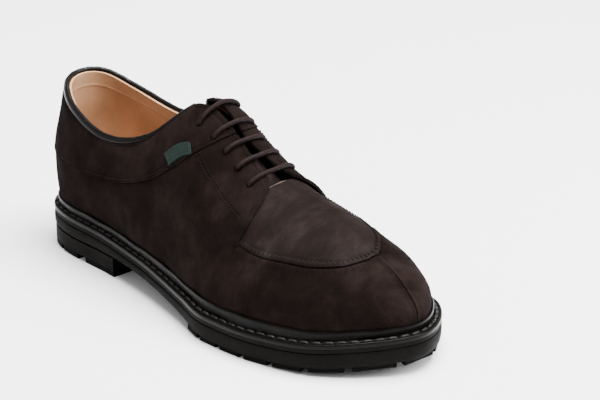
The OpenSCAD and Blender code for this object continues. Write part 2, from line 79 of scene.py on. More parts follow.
APRON_V = np.array([[6.6, 0.53], [7, 0.515], [7.5, 0.51], [8, 0.54], [8.5, 0.59], [9, 0.69],
                    [9.4, 0.82], [9.7, 0.92], [10, 0.96]])
APRON_MEDIAL_V = np.array([[7, 0.58], [7.5, 0.6], [8, 0.65], [8.5, 0.73], [9, 0.82], [9.4, 0.88],
                           [9.7, 0.925], [10, 0.96]])
COLLAR_V = np.array([[0, 0.42], [1, 0.41], [2, 0.43], [3, 0.51], [4, 0.57], [4.6, 0.553], [5.1, 0.6],
                     [5.38, 0.69], [5.62, 0.82], [5.72, 0.95]])
FACING_V = np.array([[4.7, 1], [4.95, 0.965], [5.4, 0.965], [5.8, 0.98], [6.3, 0.962], [6.7, 0.935],
                     [6.82, 0.9], [6.93, 0.82], [6.99, 0.7], [7.02, 0.6], [7.05, 0.515]])
EYELETS = np.array([[5.18, 0.84], [5.56, 0.85], [5.88, 0.86], [6.24, 0.848], [6.6, 0.826]])
ROUND = 20          # stations round the shoe
EPS = 0.002         # step for slopes on the wall
UPPER_T = 1.6
WELT_T = 2.5
RIDGE_H = 6
MIDSOLE_T = 3
LUG_H = 4.8
INSOLE_T = 3
LACE_R = 1.4
EYELET_R = 2.1
MM_PER_U = 22       # one station at the heel
MM_PER_V = 62       # the wall's height at the quarter
SIDES = ((False, "lateral"), (True, "medial"))


def hermite(p, m, q, n, t):
    """A cubic from p with slope m to q with slope n."""
    return ((2 * t**3 - 3 * t**2 + 1) * p + (t**3 - 2 * t**2 + t) * m
            + (3 * t**2 - 2 * t**3) * q + (t**3 - t**2) * n)


def row(table, u):
    """The table's row at station u, smooth all round."""
    i = np.floor(u).astype(int)
    t = (u - i)[:, None]
    a, b, c, d = (table[np.mod(i + k, ROUND)] for k in (-1, 0, 1, 2))

    def bend(p, q, r):
        return np.where((q - p) * (r - q) > 0, (r - p) / 2, 0)
    return hermite(b, bend(a, b, c), c, bend(b, c, d), t)


def curve(table, x):
    """A smooth line through the table's points."""
    xs, v = table[:, 0], table[:, 1]
    x = np.clip(x, xs[0], xs[-1])
    last = len(xs) - 1
    i = np.clip(np.searchsorted(xs, x, side="right") - 1, 0, last - 1)

    def grade(k):
        a, b = np.maximum(k - 1, 0), np.minimum(k + 1, last)
        return (v[b] - v[a]) / (xs[b] - xs[a])
    step = xs[i + 1] - xs[i]
    return hermite(v[i], grade(i) * step, v[i + 1], grade(i + 1) * step, (x - xs[i]) / step)


def level(v):
    """A height that is the same at every place."""
    return lambda s: v + 0 * s


def line(table, x):
    return np.interp(x, table[:, 0], table[:, 1])


def side(u):
    """Distance from the heel centre in stations, the same on both sides."""
    return ROUND / 2 - np.abs(np.mod(u, ROUND) - ROUND / 2)


def foot(u):
    return row(STATIONS, u)[:, :2]


def unit(vectors):
    return vectors / np.linalg.norm(vectors, axis=1)[:, None]


def outward(u):
    """Unit normal of the foot line, in plan."""
    d = foot(u + EPS) - foot(u - EPS)
    n = np.column_stack([d[:, 1], -d[:, 0]])
    return unit(n)


def wall(u):
    """The four control points of the wall at stations u."""
    r = row(STATIONS, u)
    n = outward(u)
    z = curve(WELT_Z, r[:, 0])
    return (np.column_stack([r[:, :2], z]), np.column_stack([r[:, :2] + n * r[:, 3:4], z + r[:, 2]]),
            np.column_stack([r[:, 4:6] + n * r[:, 7:8], r[:, 6] + r[:, 8]]), r[:, 4:7])


def along(c, v):
    """Points at heights v, 0 at the welt and 1 at the top or the ridge."""
    w = v[:, None]
    return (1 - w)**3 * c[0] + 3 * (1 - w)**2 * w * c[1] + 3 * (1 - w) * w**2 * c[2] + w**3 * c[3]


def flat(u, v, off=0.0):
    u, v, off = np.broadcast_arrays(np.asarray(u, float), np.asarray(v, float), np.asarray(off, float))
    return u.ravel(), v.ravel(), off.ravel(), u.shape


def normals(u, v):
    c, a, b = wall(u), wall(u - EPS), wall(u + EPS)
    return unit(np.cross(along(b, v) - along(a, v),
                         along(c, np.minimum(v + EPS, 1)) - along(c, np.maximum(v - EPS, 0))))


def skin(u, v, off=0.0):
    """Points of the shoe's wall at stations u and heights v, off millimetres outside it."""
    u, v, off, shape = flat(u, v, off)
    return (along(wall(u), v) + normals(u, v) * off[:, None]).reshape(*shape, 3)


def skin_normal(u, v):
    u, v, _, shape = flat(u, v)
    return normals(u, v).reshape(*shape, 3)


def edge(u, inset=0.0):
    """The sole's outline in plan, moved in by inset."""
    u = np.asarray(u, float)
    return foot(u) + outward(u) * (row(OVERHANG, u) - inset)


def welt_z(x):
    return curve(WELT_Z, x)


def plate_z(x):
    return curve(PLATE_Z, x)


OUTLINE = edge(np.arange(0, ROUND, 0.05))
MIDDLE = np.append((OUTLINE.min(0) + OUTLINE.max(0)) / 2, 0)


# ---------------------------------------------------------------- meshes
def linked(name, data):
    """A new object in the scene."""
    obj = bpy.data.objects.new(name, data)
    bpy.context.scene.collection.objects.link(obj)
    return obj


def mesh_of(name, bm):
    mesh = bpy.data.meshes.new(name)
    bm.to_mesh(mesh)
    bm.free()
    return mesh


def add_mesh(name, points, faces, material, body=SHOE, smooth=40):
    """A mesh object from points in the shoe's millimetres."""
    mesh = bpy.data.meshes.new(name)
    mesh.from_pydata(((np.asarray(points) - MIDDLE) * MM).tolist(), [], faces)
    bm = bmesh.new()
    bm.from_mesh(mesh)
    bmesh.ops.recalc_face_normals(bm, faces=bm.faces)
    bm.to_mesh(mesh)
    bm.free()
    mesh.materials.append(material)
    mesh.polygons.foreach_set("use_smooth", [True] * len(mesh.polygons))
    if smooth:
        mesh.set_sharp_from_angle(angle=math.radians(smooth))
    obj = linked(name, mesh)
    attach(obj, body)
    return obj


def grid_faces(m, n, start=0, wrap_m=False, wrap_n=False, turn=False):
    i = np.arange(m if wrap_m else m - 1)[:, None]
    j = np.arange(n if wrap_n else n - 1)[None, :]
    i2, j2 = (i + 1) % m, (j + 1) % n
    corners = np.broadcast_arrays(i * n + j, i2 * n + j, i2 * n + j2, i * n + j2)
    q = np.stack(corners, -1).reshape(-1, 4) + start
    return (q[:, ::-1] if turn else q).tolist()


def closed_shell(outer, inner):
    """Points and faces of a closed sheet between two grids of the same size."""
    m, n = outer.shape[:2]
    half = m * n
    o = np.arange(half).reshape(m, n)
    q = o + half
    rim_o = np.concatenate([o[:, 0], o[-1, 1:], o[-2::-1, -1], o[0, -2:0:-1]])
    rim_q = np.concatenate([q[:, 0], q[-1, 1:], q[-2::-1, -1], q[0, -2:0:-1]])
    k = np.arange(len(rim_o))
    k2 = (k + 1) % len(rim_o)
    walls = np.stack([rim_o[k], rim_q[k], rim_q[k2], rim_o[k2]], -1).tolist()
    points = np.concatenate([outer.reshape(-1, 3), inner.reshape(-1, 3)])
    return points, grid_faces(m, n) + grid_faces(m, n, half, turn=True) + walls


# Rounding of a cut edge: distance in from the edge and drop below the face, in radii
RIM = 0.45
EDGE = [(1 - math.cos(a), 1 - math.sin(a)) for a in (0, 0.5, 1.0, math.pi / 2)]


def rows_with_edges(low, high, speed_low, speed_high, n, r):
    """Heights and drops of one column of a cut piece, with rounded edges at both ends.
    n is a number of even rows, or the rows' places between 0 and 1."""
    first = [(low + d * r / speed_low, drop * r) for d, drop in EDGE]
    last = [(high - d * r / speed_high, drop * r) for d, drop in EDGE[::-1]]
    a, b = first[-1][0], last[0][0]
    places = np.arange(1, n) / n if np.isscalar(n) else n
    inner = [(a + (b - a) * t, 0 * a) for t in places]
    return first + inner + last


def cut_piece(us, low, high, n, r):
    """Grids of station, height and drop for a piece with rounded cut edges all round."""
    u0, u1 = us[0], us[-1]
    per_u = 30.0        # millimetres in a station, roughly
    cols = ([(u0 + d * r / per_u, drop * r) for d, drop in EDGE] + [(u, 0.0) for u in us[1:-1]]
            + [(u1 - d * r / per_u, drop * r) for d, drop in EDGE[::-1]])
    cols.sort(key=lambda c: c[0])
    u = np.array([c[0] for c in cols])
    drop_u = np.array([c[1] for c in cols])
    s = side(u)
    lo, hi = low(s), high(s)
    h = 0.004
    speed_lo = np.linalg.norm(skin(u, lo + h) - skin(u, lo), axis=1) / h
    speed_hi = np.linalg.norm(skin(u, hi) - skin(u, hi - h), axis=1) / h
    rows = rows_with_edges(lo, hi, speed_lo, speed_hi, n, r)
    v = np.stack([a for a, _ in rows], 1)
    drop = np.maximum(np.stack([b + 0 * lo for _, b in rows], 1), drop_u[:, None])
    return np.broadcast_to(u[:, None], v.shape), v, drop


def ridge_blend(points, middle, reach):
    """Rounds a grid of points where it crosses the shoe's ridge, at row middle."""
    out = points.copy()
    n = points.shape[1]
    for k in range(max(middle - reach, 1), min(middle + reach + 1, n - 1)):
        w = reach + 1 - abs(k - middle)
        a, b = max(k - w, 0), min(k + w, n - 1)
        hat = w + 1 - np.abs(np.arange(a, b + 1) - k)
        out[:, k] = np.tensordot(points[:, a:b + 1], hat / hat.sum(), axes=([1], [0]))
    return out


def finish_sheet(name, outer, inner, drop, material, body=SHOE, cut=None):
    """A sheet's object, with the cut edge's material where its rounding drops away; on the suede that edge is
    lighter, partly the raw edge's own tone and partly a painted edge highlight.
    """
    points, faces = closed_shell(outer, inner)
    obj = add_mesh(name, points, faces, material, body)
    obj.data.materials.append(cut or material)
    level = np.concatenate([drop.ravel(), np.ones(drop.size)])
    # Faces on the rounded rim get the cut material: on the suede, raw edge tone together with a painted edge
    # highlight.
    marks = [int(min(level[i] for i in face) > 0.12 and min(face) < drop.size) for face in faces]
    obj.data.polygons.foreach_set("material_index", marks)
    return obj


def leather(name, us, low, high, n, material, top=UPPER_T, bottom=0.0, relief=None, r=RIM, cut=None):
    """A cut piece of leather on the wall. relief gives its extra height from the grids
    of station and height and from the points on the bare wall."""
    u, v, drop = cut_piece(us, low, high, n, r)
    base = skin(u, v)
    extra = relief(u, v, base) if relief else 0 * u
    nn = skin_normal(u, v)
    outer = base + nn * (top - drop + extra)[..., None]
    inner = base + nn * (bottom + np.minimum(extra, 0) * 0.5 + np.maximum(extra, 0) * 0.8)[..., None]
    return finish_sheet(name, outer, inner, drop, material, cut=cut)


def rim_drops(count, drops):
    """The drops of a sheet's first rows, and none on the rest."""
    return np.append(drops, np.zeros(count - len(drops)))


def measured(points):
    """Running length at each point of a path."""
    return np.append(0, np.cumsum(np.linalg.norm(np.diff(points, axis=0), axis=1)))


def at_lengths(points, s, run):
    return np.column_stack([np.interp(run, s, points[:, k]) for k in range(points.shape[1])])


class Seam:
    """A line on the wall that reliefs and stitches follow."""

    def __init__(self, u, v, step=0.25):
        self.u, self.v = np.asarray(u, float), np.asarray(v, float)
        points = skin(self.u, self.v)
        s = measured(points)
        dense = at_lengths(points, s, np.arange(0, s[-1], step))
        self.step = step
        self.tree = KDTree(len(dense))
        for k, p in enumerate(dense):
            self.tree.insert(p, k)
        self.tree.balance()

    def near(self, points):
        """Distance to the line, and the running length of its nearest point."""
        found = [self.tree.find(p)[1:] for p in points.reshape(-1, 3)]
        run, d = np.array(found).T
        return d.reshape(points.shape[:-1]), run.reshape(points.shape[:-1]) * self.step

    def beside(self, mm, off):
        """Points off above the line moved mm to its left, seen from outside, and the normals."""
        p, n = skin(self.u, self.v), skin_normal(self.u, self.v)
        return p + np.cross(n, unit(np.gradient(p, axis=0))) * mm + n * off, n


def bump(d, w):
    return np.exp(-(d / w)**2)


def resample(p, nn, pitch):
    """Even places and their normals along a path, one in the middle of each pitch."""
    data = np.column_stack([p, nn])
    s = measured(data)
    count = max(int(round(s[-1] / pitch)), 1)
    data = at_lengths(data, s, (np.arange(count) + 0.5) * s[-1] / count)
    return data[:, :3], data[:, 3:]


def capsule(length, r, flat_k=1.0, rings=7, sides=8):
    """A stitch: a rounded thread lying along X, its ends dipping into the leather."""
    t = np.linspace(-1, 1, rings)
    radius = r * np.sqrt(np.clip(1 - t**6, 0.02, 1))
    a = np.arange(sides) * 2 * math.pi / sides
    x = np.repeat(t * length / 2, sides)
    y = (radius[:, None] * np.cos(a)).ravel()
    z = (radius[:, None] * np.sin(a) * flat_k).ravel() - np.repeat(0.55 * r * t**4, sides)
    points = np.column_stack([x, y, z])
    faces = grid_faces(rings, sides, wrap_n=True, turn=True)
    faces += [list(range(sides)), [rings * sides - 1 - k for k in range(sides)]]
    return points, faces


def stitch_mesh(name, p, t, b, nn, base, faces, material):
    """Copies of one stitch at points p, turned to the axes t, b and nn."""
    points = (p[:, None] + base[None, :, :1] * t[:, None] + base[None, :, 1:2] * b[:, None]
              + base[None, :, 2:] * nn[:, None]).reshape(-1, 3)
    all_faces = [[k * len(base) + f for f in face] for k in range(len(p)) for face in faces]
    return add_mesh(name, points, all_faces, material, smooth=None)


def stitch_set(name, p, nn, length, r, material, jitter=0.04, flat_k=1.0):
    """Stitches along the line p, each turned a little at random."""
    t = unit(np.gradient(p, axis=0))
    b = unit(np.cross(nn, t))
    nn = np.cross(t, b)
    turn = rng.normal(0, jitter, len(p))[:, None]
    t, b = t * np.cos(turn) + b * np.sin(turn), b * np.cos(turn) - t * np.sin(turn)
    return stitch_mesh(name, p, t, b, nn, *capsule(length, r, flat_k), material)


def stitches(name, u, v, off, pitch, length, r, material):
    """A row of separate stitches along a line on the wall."""
    p, nn = resample(skin(u, v, off), skin_normal(u, v), pitch)
    return stitch_set(name, p, nn, length, r, material)


def tube(name, path, radius, sides, material, shape):
    """A shaped tube through a path of points. shape(k, angle) scales its radius."""
    t = unit(np.gradient(path, axis=0))
    n = np.zeros_like(t)
    guess = np.array([0.31, 0.22, 0.93])
    for k in range(len(path)):
        guess = guess - (guess @ t[k]) * t[k]
        guess = guess / np.linalg.norm(guess)
        n[k] = guess
    b = np.cross(t, n)
    a = np.arange(sides) * 2 * math.pi / sides
    r = np.broadcast_to(np.asarray(radius, float).reshape(-1, 1), (len(path), 1)) * np.ones((1, sides))
    r = r * shape(np.arange(len(path))[:, None], a[None, :])
    round_off = np.cos(a)[None, :, None] * n[:, None] + np.sin(a)[None, :, None] * b[:, None]
    points = path[:, None] + r[..., None] * round_off
    faces = grid_faces(len(path), sides, wrap_n=True, turn=True)
    faces += [list(range(sides)), [len(path) * sides - 1 - k for k in range(sides)]]
    return add_mesh(name, points.reshape(-1, 3), faces, material)


def spline(points, per):
    """A smooth path through the points, per steps between two of them."""
    p = np.vstack([2 * points[0] - points[1], points, 2 * points[-1] - points[-2]])
    out = []
    for k in range(1, len(p) - 2):
        for t in np.arange(per) / per:
            a, b, c, d = p[k - 1:k + 3]
            square, cube = 2 * a - 5 * b + 4 * c - d, 3 * b - a - 3 * c + d
            out.append(0.5 * (2 * b + (c - a) * t + square * t**2 + cube * t**3))
    out.append(p[-2])
    return np.array(out)


# ---------------------------------------------------------------- materials
class Look:
    """A node material: helper calls return output sockets."""

    def __init__(self, name, roughness, specular=0.5, **constants):
        self.mat = bpy.data.materials.new(name)
        self.mat.use_nodes = True
        self.nodes, self.links = self.mat.node_tree.nodes, self.mat.node_tree.links
        self.shader = self.nodes["Principled BSDF"]
        self.shader.inputs["Roughness"].default_value = roughness
        self.shader.inputs["Specular IOR Level"].default_value = specular
        for key, value in constants.items():
            self.shader.inputs[key.replace("_", " ")].default_value = value
        self.place = self.nodes.new("ShaderNodeTexCoord").outputs["Object"]

    def link(self, a, b):
        self.links.new(a, b)

    def stretched(self, scale, turn):
        m = self.nodes.new("ShaderNodeMapping")
        m.inputs["Scale"].default_value = scale
        m.inputs["Rotation"].default_value = turn
        self.link(self.place, m.inputs["Vector"])
        return m.outputs["Vector"]

    def texture(self, kind, size_mm, place=None, **inputs):
        n = self.nodes.new("ShaderNodeTex" + kind)
        n.inputs["Scale"].default_value = 1000 / size_mm
        for key, value in inputs.items():
            n.inputs[key].default_value = value
        self.link(place or self.place, n.inputs["Vector"])
        return n

    def noise(self, size_mm, detail=3, rough=0.55, place=None, twist=0.0):
        n = self.texture("Noise", size_mm, place, Detail=detail, Roughness=rough, Distortion=twist)
        return n.outputs["Fac"]

    def cells(self, size_mm):
        return self.texture("Voronoi", size_mm).outputs["Distance"]

    def waves(self, size_mm, axis, twist):
        n = self.texture("Wave", size_mm * 3.1416, Distortion=twist)
        n.bands_direction = axis
        return n.outputs["Fac"]

    def total(self, *shares):
        """The sum of sockets, each times its share."""
        out = None
        for socket, share in shares:
            part = self.math("MULTIPLY", socket, share)
            out = part if out is None else self.math("ADD", out, part)
        return out

    def math(self, kind, a, b):
        n = self.nodes.new("ShaderNodeMath")
        n.operation = kind
        for socket, value in zip(n.inputs, (a, b)):
            if isinstance(value, (int, float)):
                socket.default_value = value
            else:
                self.link(value, socket)
        return n.outputs[0]

    def ramp(self, factor, *stops):
        n = self.nodes.new("ShaderNodeValToRGB")
        marks = n.color_ramp.elements
        while len(marks) < len(stops):
            marks.new(0.5)
        for mark, (at, color) in zip(marks, stops):
            mark.position = at
            mark.color = (*color, 1)
        self.link(factor, n.inputs["Fac"])
        return n.outputs["Color"]

    def color(self, socket):
        self.link(socket, self.shader.inputs["Base Color"])

    def rough(self, socket, low, high):
        n = self.nodes.new("ShaderNodeMapRange")
        n.inputs["To Min"].default_value = low
        n.inputs["To Max"].default_value = high
        self.link(socket, n.inputs["Value"])
        self.link(n.outputs["Result"], self.shader.inputs["Roughness"])

    def bump(self, height, depth_mm, strength=1.0, below=None):
        n = self.nodes.new("ShaderNodeBump")
        n.inputs["Distance"].default_value = depth_mm * MM
        n.inputs["Strength"].default_value = strength
        self.link(height, n.inputs["Height"])
        if below is not None:
            self.link(below, n.inputs["Normal"])
        self.link(n.outputs["Normal"], self.shader.inputs["Normal"])
        return n.outputs["Normal"]


def suede(name, dark, mid, light):
    """Napped leather: brushed light and dark patches, short fibres and a soft sheen."""
    k = Look(name, 0.95, 0.02, Sheen_Weight=0.004, Sheen_Roughness=0.5, Sheen_Tint=(0.62, 0.5, 0.45, 1))
    patches = k.noise(34, 4, 0.6, twist=0.6)
    brushed = k.noise(7, 3, 0.6, k.stretched([25 / streak for streak in (18, 45, 30)], (0.2, 0.5, 0.3)))
    fibre = k.noise(0.9, 5, 0.7)
    fine = k.noise(0.35, 3, 0.7)
    tone = k.total((patches, 0.62), (brushed, 0.22), (fibre, 0.16))
    k.color(k.ramp(tone, (0.36, dark), (0.5, mid), (0.66, light)))
    nap = k.bump(fibre, 0.22, 0.75)
    k.bump(fine, 0.1, 0.6, nap)
    return k.mat


def smooth_leather(name, dark, light, low, high, grain_mm=0.8, depth=0.06, specular=0.3):
    k = Look(name, low, specular)
    tone = k.noise(22, 4, 0.55)
    k.color(k.ramp(tone, (0.35, dark), (0.68, light)))
    k.rough(k.noise(6, 3), low, high)
    pores = k.bump(k.cells(grain_mm), depth, 0.6)
    k.bump(k.noise(9, 2), 0.25, 0.35, pores)
    return k.mat


def rubber_look(name, dark, light, low, high):
    k = Look(name, low, 0.03)
    tone = k.total((k.noise(40, 3), 0.6), (k.noise(1.2, 3), 0.4))
    k.color(k.ramp(tone, (0.38, dark), (0.62, light)))
    k.rough(k.noise(12, 4), low, high)
    k.bump(k.noise(0.7, 4, 0.6), 0.09, 0.5)
    return k.mat


def thread_look(name, dark, light, roughness):
    k = Look(name, roughness, 0.08)
    k.color(k.ramp(k.noise(2.5, 3), (0.3, dark), (0.7, light)))
    k.bump(k.noise(0.35, 3), 0.12, 0.7)
    return k.mat


def woven_label():
    k = Look("label_weave", 0.85, 0.12, Sheen_Weight=0.02)
    warp = k.waves(0.55, "X", 0.4)
    weft = k.waves(0.45, "Z", 0.4)
    cloth = k.math("MULTIPLY", warp, weft)
    tone = k.total((cloth, 0.6), (k.noise(3, 3), 0.4))
    k.color(k.ramp(tone, (0.15, (0.0012, 0.0046, 0.0036)), (0.7, (0.0052, 0.014, 0.011))))
    k.bump(cloth, 0.15, 0.8)
    return k.mat


def cork_look():
    k = Look("cork_grain", 0.85, 0.2)
    k.color(k.ramp(k.cells(2.2), (0.1, (0.2, 0.11, 0.05)), (0.7, (0.5, 0.33, 0.18))))
    k.bump(k.noise(1.5, 4), 0.3, 0.6)
    return k.mat


def steel_look():
    k = Look("plain_steel", 0.35, 0.5, Metallic=1.0)
    k.color(k.ramp(k.noise(8, 3), (0.3, (0.42, 0.43, 0.45)), (0.7, (0.6, 0.61, 0.63))))
    k.rough(k.noise(3, 4), 0.25, 0.5)
    return k.mat


def twill_look():
    k = Look("lining_twill", 0.9, 0.2)
    ribs = k.waves(0.7, "DIAGONAL", 0.6)
    k.color(k.ramp(ribs, (0.2, (0.03, 0.02, 0.016)), (0.8, (0.07, 0.05, 0.04))))
    k.bump(ribs, 0.12, 0.7)
    return k.mat


def floor_look():
    k = Look("pale_floor", 0.6, 0.2)
    k.color(k.ramp(k.noise(400, 2), (0.3, (0.9, 0.9, 0.9)), (0.7, (0.93, 0.93, 0.93))))
    return k.mat


SUEDE = suede("suede_brown", (0.0024, 0.0014, 0.0012), (0.005, 0.003, 0.0026), (0.0105, 0.0068, 0.006))
# The same suede painted about twice as light: a painted highlight for the apron and tongue, which face the
# light from above.
SUEDE_PAINTED_LIGHT = suede("suede_apron_painted_light", (0.0042, 0.0028, 0.0026), (0.008, 0.0055, 0.0051), (0.0165, 0.0123, 0.0116))
# The cut edge is lighter partly as the raw edge's own tone and partly as a painted highlight along the
# rounded rim.
SUEDE_EDGE_TONE_AND_HIGHLIGHT = suede("suede_cut_edge_tone_and_highlight", (0.005, 0.0036, 0.003), (0.009, 0.0068, 0.0058), (0.016, 0.0125, 0.011))
GLOSSY = smooth_leather("glossy_dark_leather", (0.0012, 0.001, 0.0009), (0.0034, 0.0026, 0.0023), 0.25, 0.4,
                        specular=0.12)
TAN = smooth_leather("tan_lining_leather", (0.31, 0.165, 0.086), (0.41, 0.235, 0.13), 0.55, 0.7, 1.1, 0.05,
                     0.12)
BOARD = smooth_leather("leather_board", (0.3, 0.2, 0.12), (0.42, 0.3, 0.2), 0.6, 0.8)
DARK_BACKING = smooth_leather("dark_backing", (0.003, 0.0024, 0.002), (0.008, 0.006, 0.005), 0.5, 0.7,
                              specular=0.1)
WELT_LEATHER = smooth_leather("welt_leather", (0.001, 0.0008, 0.0007), (0.003, 0.0024, 0.002), 0.26, 0.42,
                              1.4, 0.08, 0.055)
MIDSOLE = rubber_look("midsole_edge", (0.0013, 0.0011, 0.0009), (0.003, 0.0025, 0.0021), 0.55, 0.72)
RUBBER = rubber_look("sole_rubber", (0.0016, 0.0013, 0.0011), (0.0036, 0.003, 0.0025), 0.55, 0.72)
RUBBER_BLACK = rubber_look("lug_rubber", (0.0005, 0.0005, 0.0005), (0.0012, 0.0012, 0.0011), 0.6, 0.75)
THREAD = thread_look("upper_thread", (0.0012, 0.0009, 0.0008), (0.0036, 0.0026, 0.0023), 0.6)
WELT_THREAD = thread_look("welt_thread", (0.0034, 0.003, 0.0027), (0.014, 0.0125, 0.011), 0.4)
TAN_THREAD = thread_look("lining_thread", (0.22, 0.105, 0.05), (0.36, 0.18, 0.09), 0.7)
LACE = thread_look("lace_cord", (0.003, 0.0012, 0.001), (0.0085, 0.0038, 0.0033), 0.68)
LABEL = woven_label()
LABEL_THREAD = thread_look("label_thread", (0.010, 0.022, 0.018), (0.024, 0.045, 0.038), 0.6)
SHEATH = rubber_look("aglet_sheath", (0.02, 0.01, 0.008), (0.05, 0.025, 0.02), 0.2, 0.3)
CORK = cork_look()
STEEL = steel_look()
TWILL = twill_look()


def finish_node(node, material):
    """Gives a CAD node that stays visible its material."""
    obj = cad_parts[node]
    obj.data.materials.clear()
    obj.data.materials.append(material)
    obj.data.polygons.foreach_set("use_smooth", [True] * len(obj.data.polygons))
    obj.data.set_sharp_from_angle(angle=math.radians(35))


# ---------------------------------------------------------------- sole unit
def sole_columns(count, last=10.0):
    """Stations from the heel to last, closer together at the heel and the toe."""
    t = (np.arange(count) + 0.5) / count
    u = 10 * (0.5 - 0.5 * np.cos(math.pi * t))
    return u if last >= 10 else np.append(u[u < last - 0.02], last)


def sole_layer(name, us, profile, top, bottom, material, crossings=14):
    """A sole layer. profile is a list of (inset, depth share) from its top edge down."""
    def rim(u, inset, share):
        p = edge(u, inset)
        return np.column_stack([p, top(p[:, 0]) * (1 - share) + bottom(p[:, 0]) * share])

    def bridge(a, b, z):
        out = []
        for t in np.arange(1, crossings) / crossings:
            p = a[:, :2] * (1 - t) + b[:, :2] * t
            out.append(np.column_stack([p, z(p[:, 0])]))
        return out
    lateral = [rim(us, i, s) for i, s in profile]
    medial = [rim(ROUND - us, i, s) for i, s in profile][::-1]
    loop = lateral + bridge(lateral[-1], medial[0], bottom) + medial + bridge(medial[-1], lateral[0], top)
    points = np.stack(loop, 1)
    m, n = points.shape[:2]
    faces = grid_faces(m, n, wrap_n=True, turn=True)
    faces += [list(range(n))[::-1], [(m - 1) * n + k for k in range(n)]]
    return add_mesh(name, points.reshape(-1, 3), faces, material, smooth=35)


def midsole_top(x):
    return welt_z(x) - WELT_T


def outsole_top(x):
    return midsole_top(x) - MIDSOLE_T


def stretch(a, b, steps):
    """Points from a towards b, without b."""
    return [a + (b - a) * t / steps for t in range(steps)]


def blocks(name, plans, top, bottom, material, bevel=0.6):
    """Rubber blocks on the underside, each from four plan points."""
    points, faces = [], []
    for plan in plans:
        start = len(points)
        a, b, c, d = (np.asarray(p, float) for p in plan)
        ring = np.array(stretch(a, b, 2) + stretch(b, c, 6) + stretch(c, d, 2) + stretch(d, a, 6))
        n = len(ring)
        points += np.column_stack([ring, top(ring[:, 0])]).tolist()
        points += np.column_stack([ring, bottom(ring[:, 0])]).tolist()
        faces += [[start + k, start + (k + 1) % n, start + n + (k + 1) % n, start + n + k] for k in range(n)]
        faces += [[start + n - 1 - k for k in range(n)], [start + n + k for k in range(n)]]
    obj = add_mesh(name, points, faces, material, smooth=30)
    mod = obj.modifiers.new("edges", "BEVEL")
    mod.width = bevel * MM
    mod.segments = 2
    mod.limit_method = "ANGLE"
    mod.angle_limit = math.radians(50)
    return obj


def floor_z(x):
    return np.maximum(plate_z(x) - LUG_H, 0)


def plan_point(u, t, inset):
    """A point in plan, t of the way from the lateral to the medial edge."""
    a, b = edge([u], inset)[0], edge([ROUND - u], inset)[0]
    return a + (b - a) * t


def build_sole():
    band = [(0.9, 0.0), (0.35, 0.03), (0.05, 0.12), (0.0, 0.35), (0.25, 0.7), (0.7, 0.9), (1.5, 1.0)]
    fore_deeper = 2.3
    outsole = sole_layer("outsole_rubber", sole_columns(260), band, outsole_top,
                         lambda x: plate_z(x) - fore_deeper * np.clip((x - 150) / 30, 0, 1), RUBBER)
    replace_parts(outsole, "outsole")

    rim_in, rim_out, rim_u = 14, 0.9, 0.42
    lugs = [[edge([u], rim_out)[0], edge([u], rim_in)[0], edge([u + rim_u], rim_in)[0],
             edge([u + rim_u], rim_out)[0]] for u in np.arange(6.3, 13.4, 0.5)]
    centre_in, centre_u = 18, 0.3
    for u in np.arange(6.5, 8.6, 0.5):
        for shift, a, b in ((0, 0.04, 0.46), (0.1, 0.54, 0.96)):
            u0, u1 = u + shift, u + shift + centre_u
            lugs.append([plan_point(at, t, centre_in) for at, t in ((u0, a), (u0, b), (u1, b), (u1, a))])
    tread = blocks("forepart_lugs", lugs, lambda x: plate_z(x) + 0.6, floor_z, RUBBER_BLACK)
    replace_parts(tread, "outsole")

    sides = [(0.5, 0.0), (0.15, 0.05), (0.3, 0.5), (0.6, 0.92), (1.1, 1.0)]
    midsole = sole_layer("midsole_leather", sole_columns(260), sides, midsole_top, outsole_top, MIDSOLE)
    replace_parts(midsole, "midsole")

    heel_sides = [(1.1, 0.0), (0.7, 0.05), (0.7, 0.5), (0.85, 0.95), (1.1, 1.0)]
    heel_top, split, breast = 12.4, 3.5, 3.25
    heel = sole_layer("heel_rubber", sole_columns(260, breast), heel_sides, level(heel_top), level(split),
                      RUBBER)
    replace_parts(heel, "heel_block")
    pad_sides = [(1.0, 0.0), (1.0, 0.8), (1.5, 1.0)]
    for k, (start, end) in enumerate(((0.02, 0.8), (0.9, 1.7), (1.8, 2.3), (2.5, breast))):
        pad = sole_layer("heel_lug_%d" % k, np.linspace(start, end, 24), pad_sides, level(split + 0.5),
                         level(0), RUBBER_BLACK)
        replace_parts(pad, "heel_block")


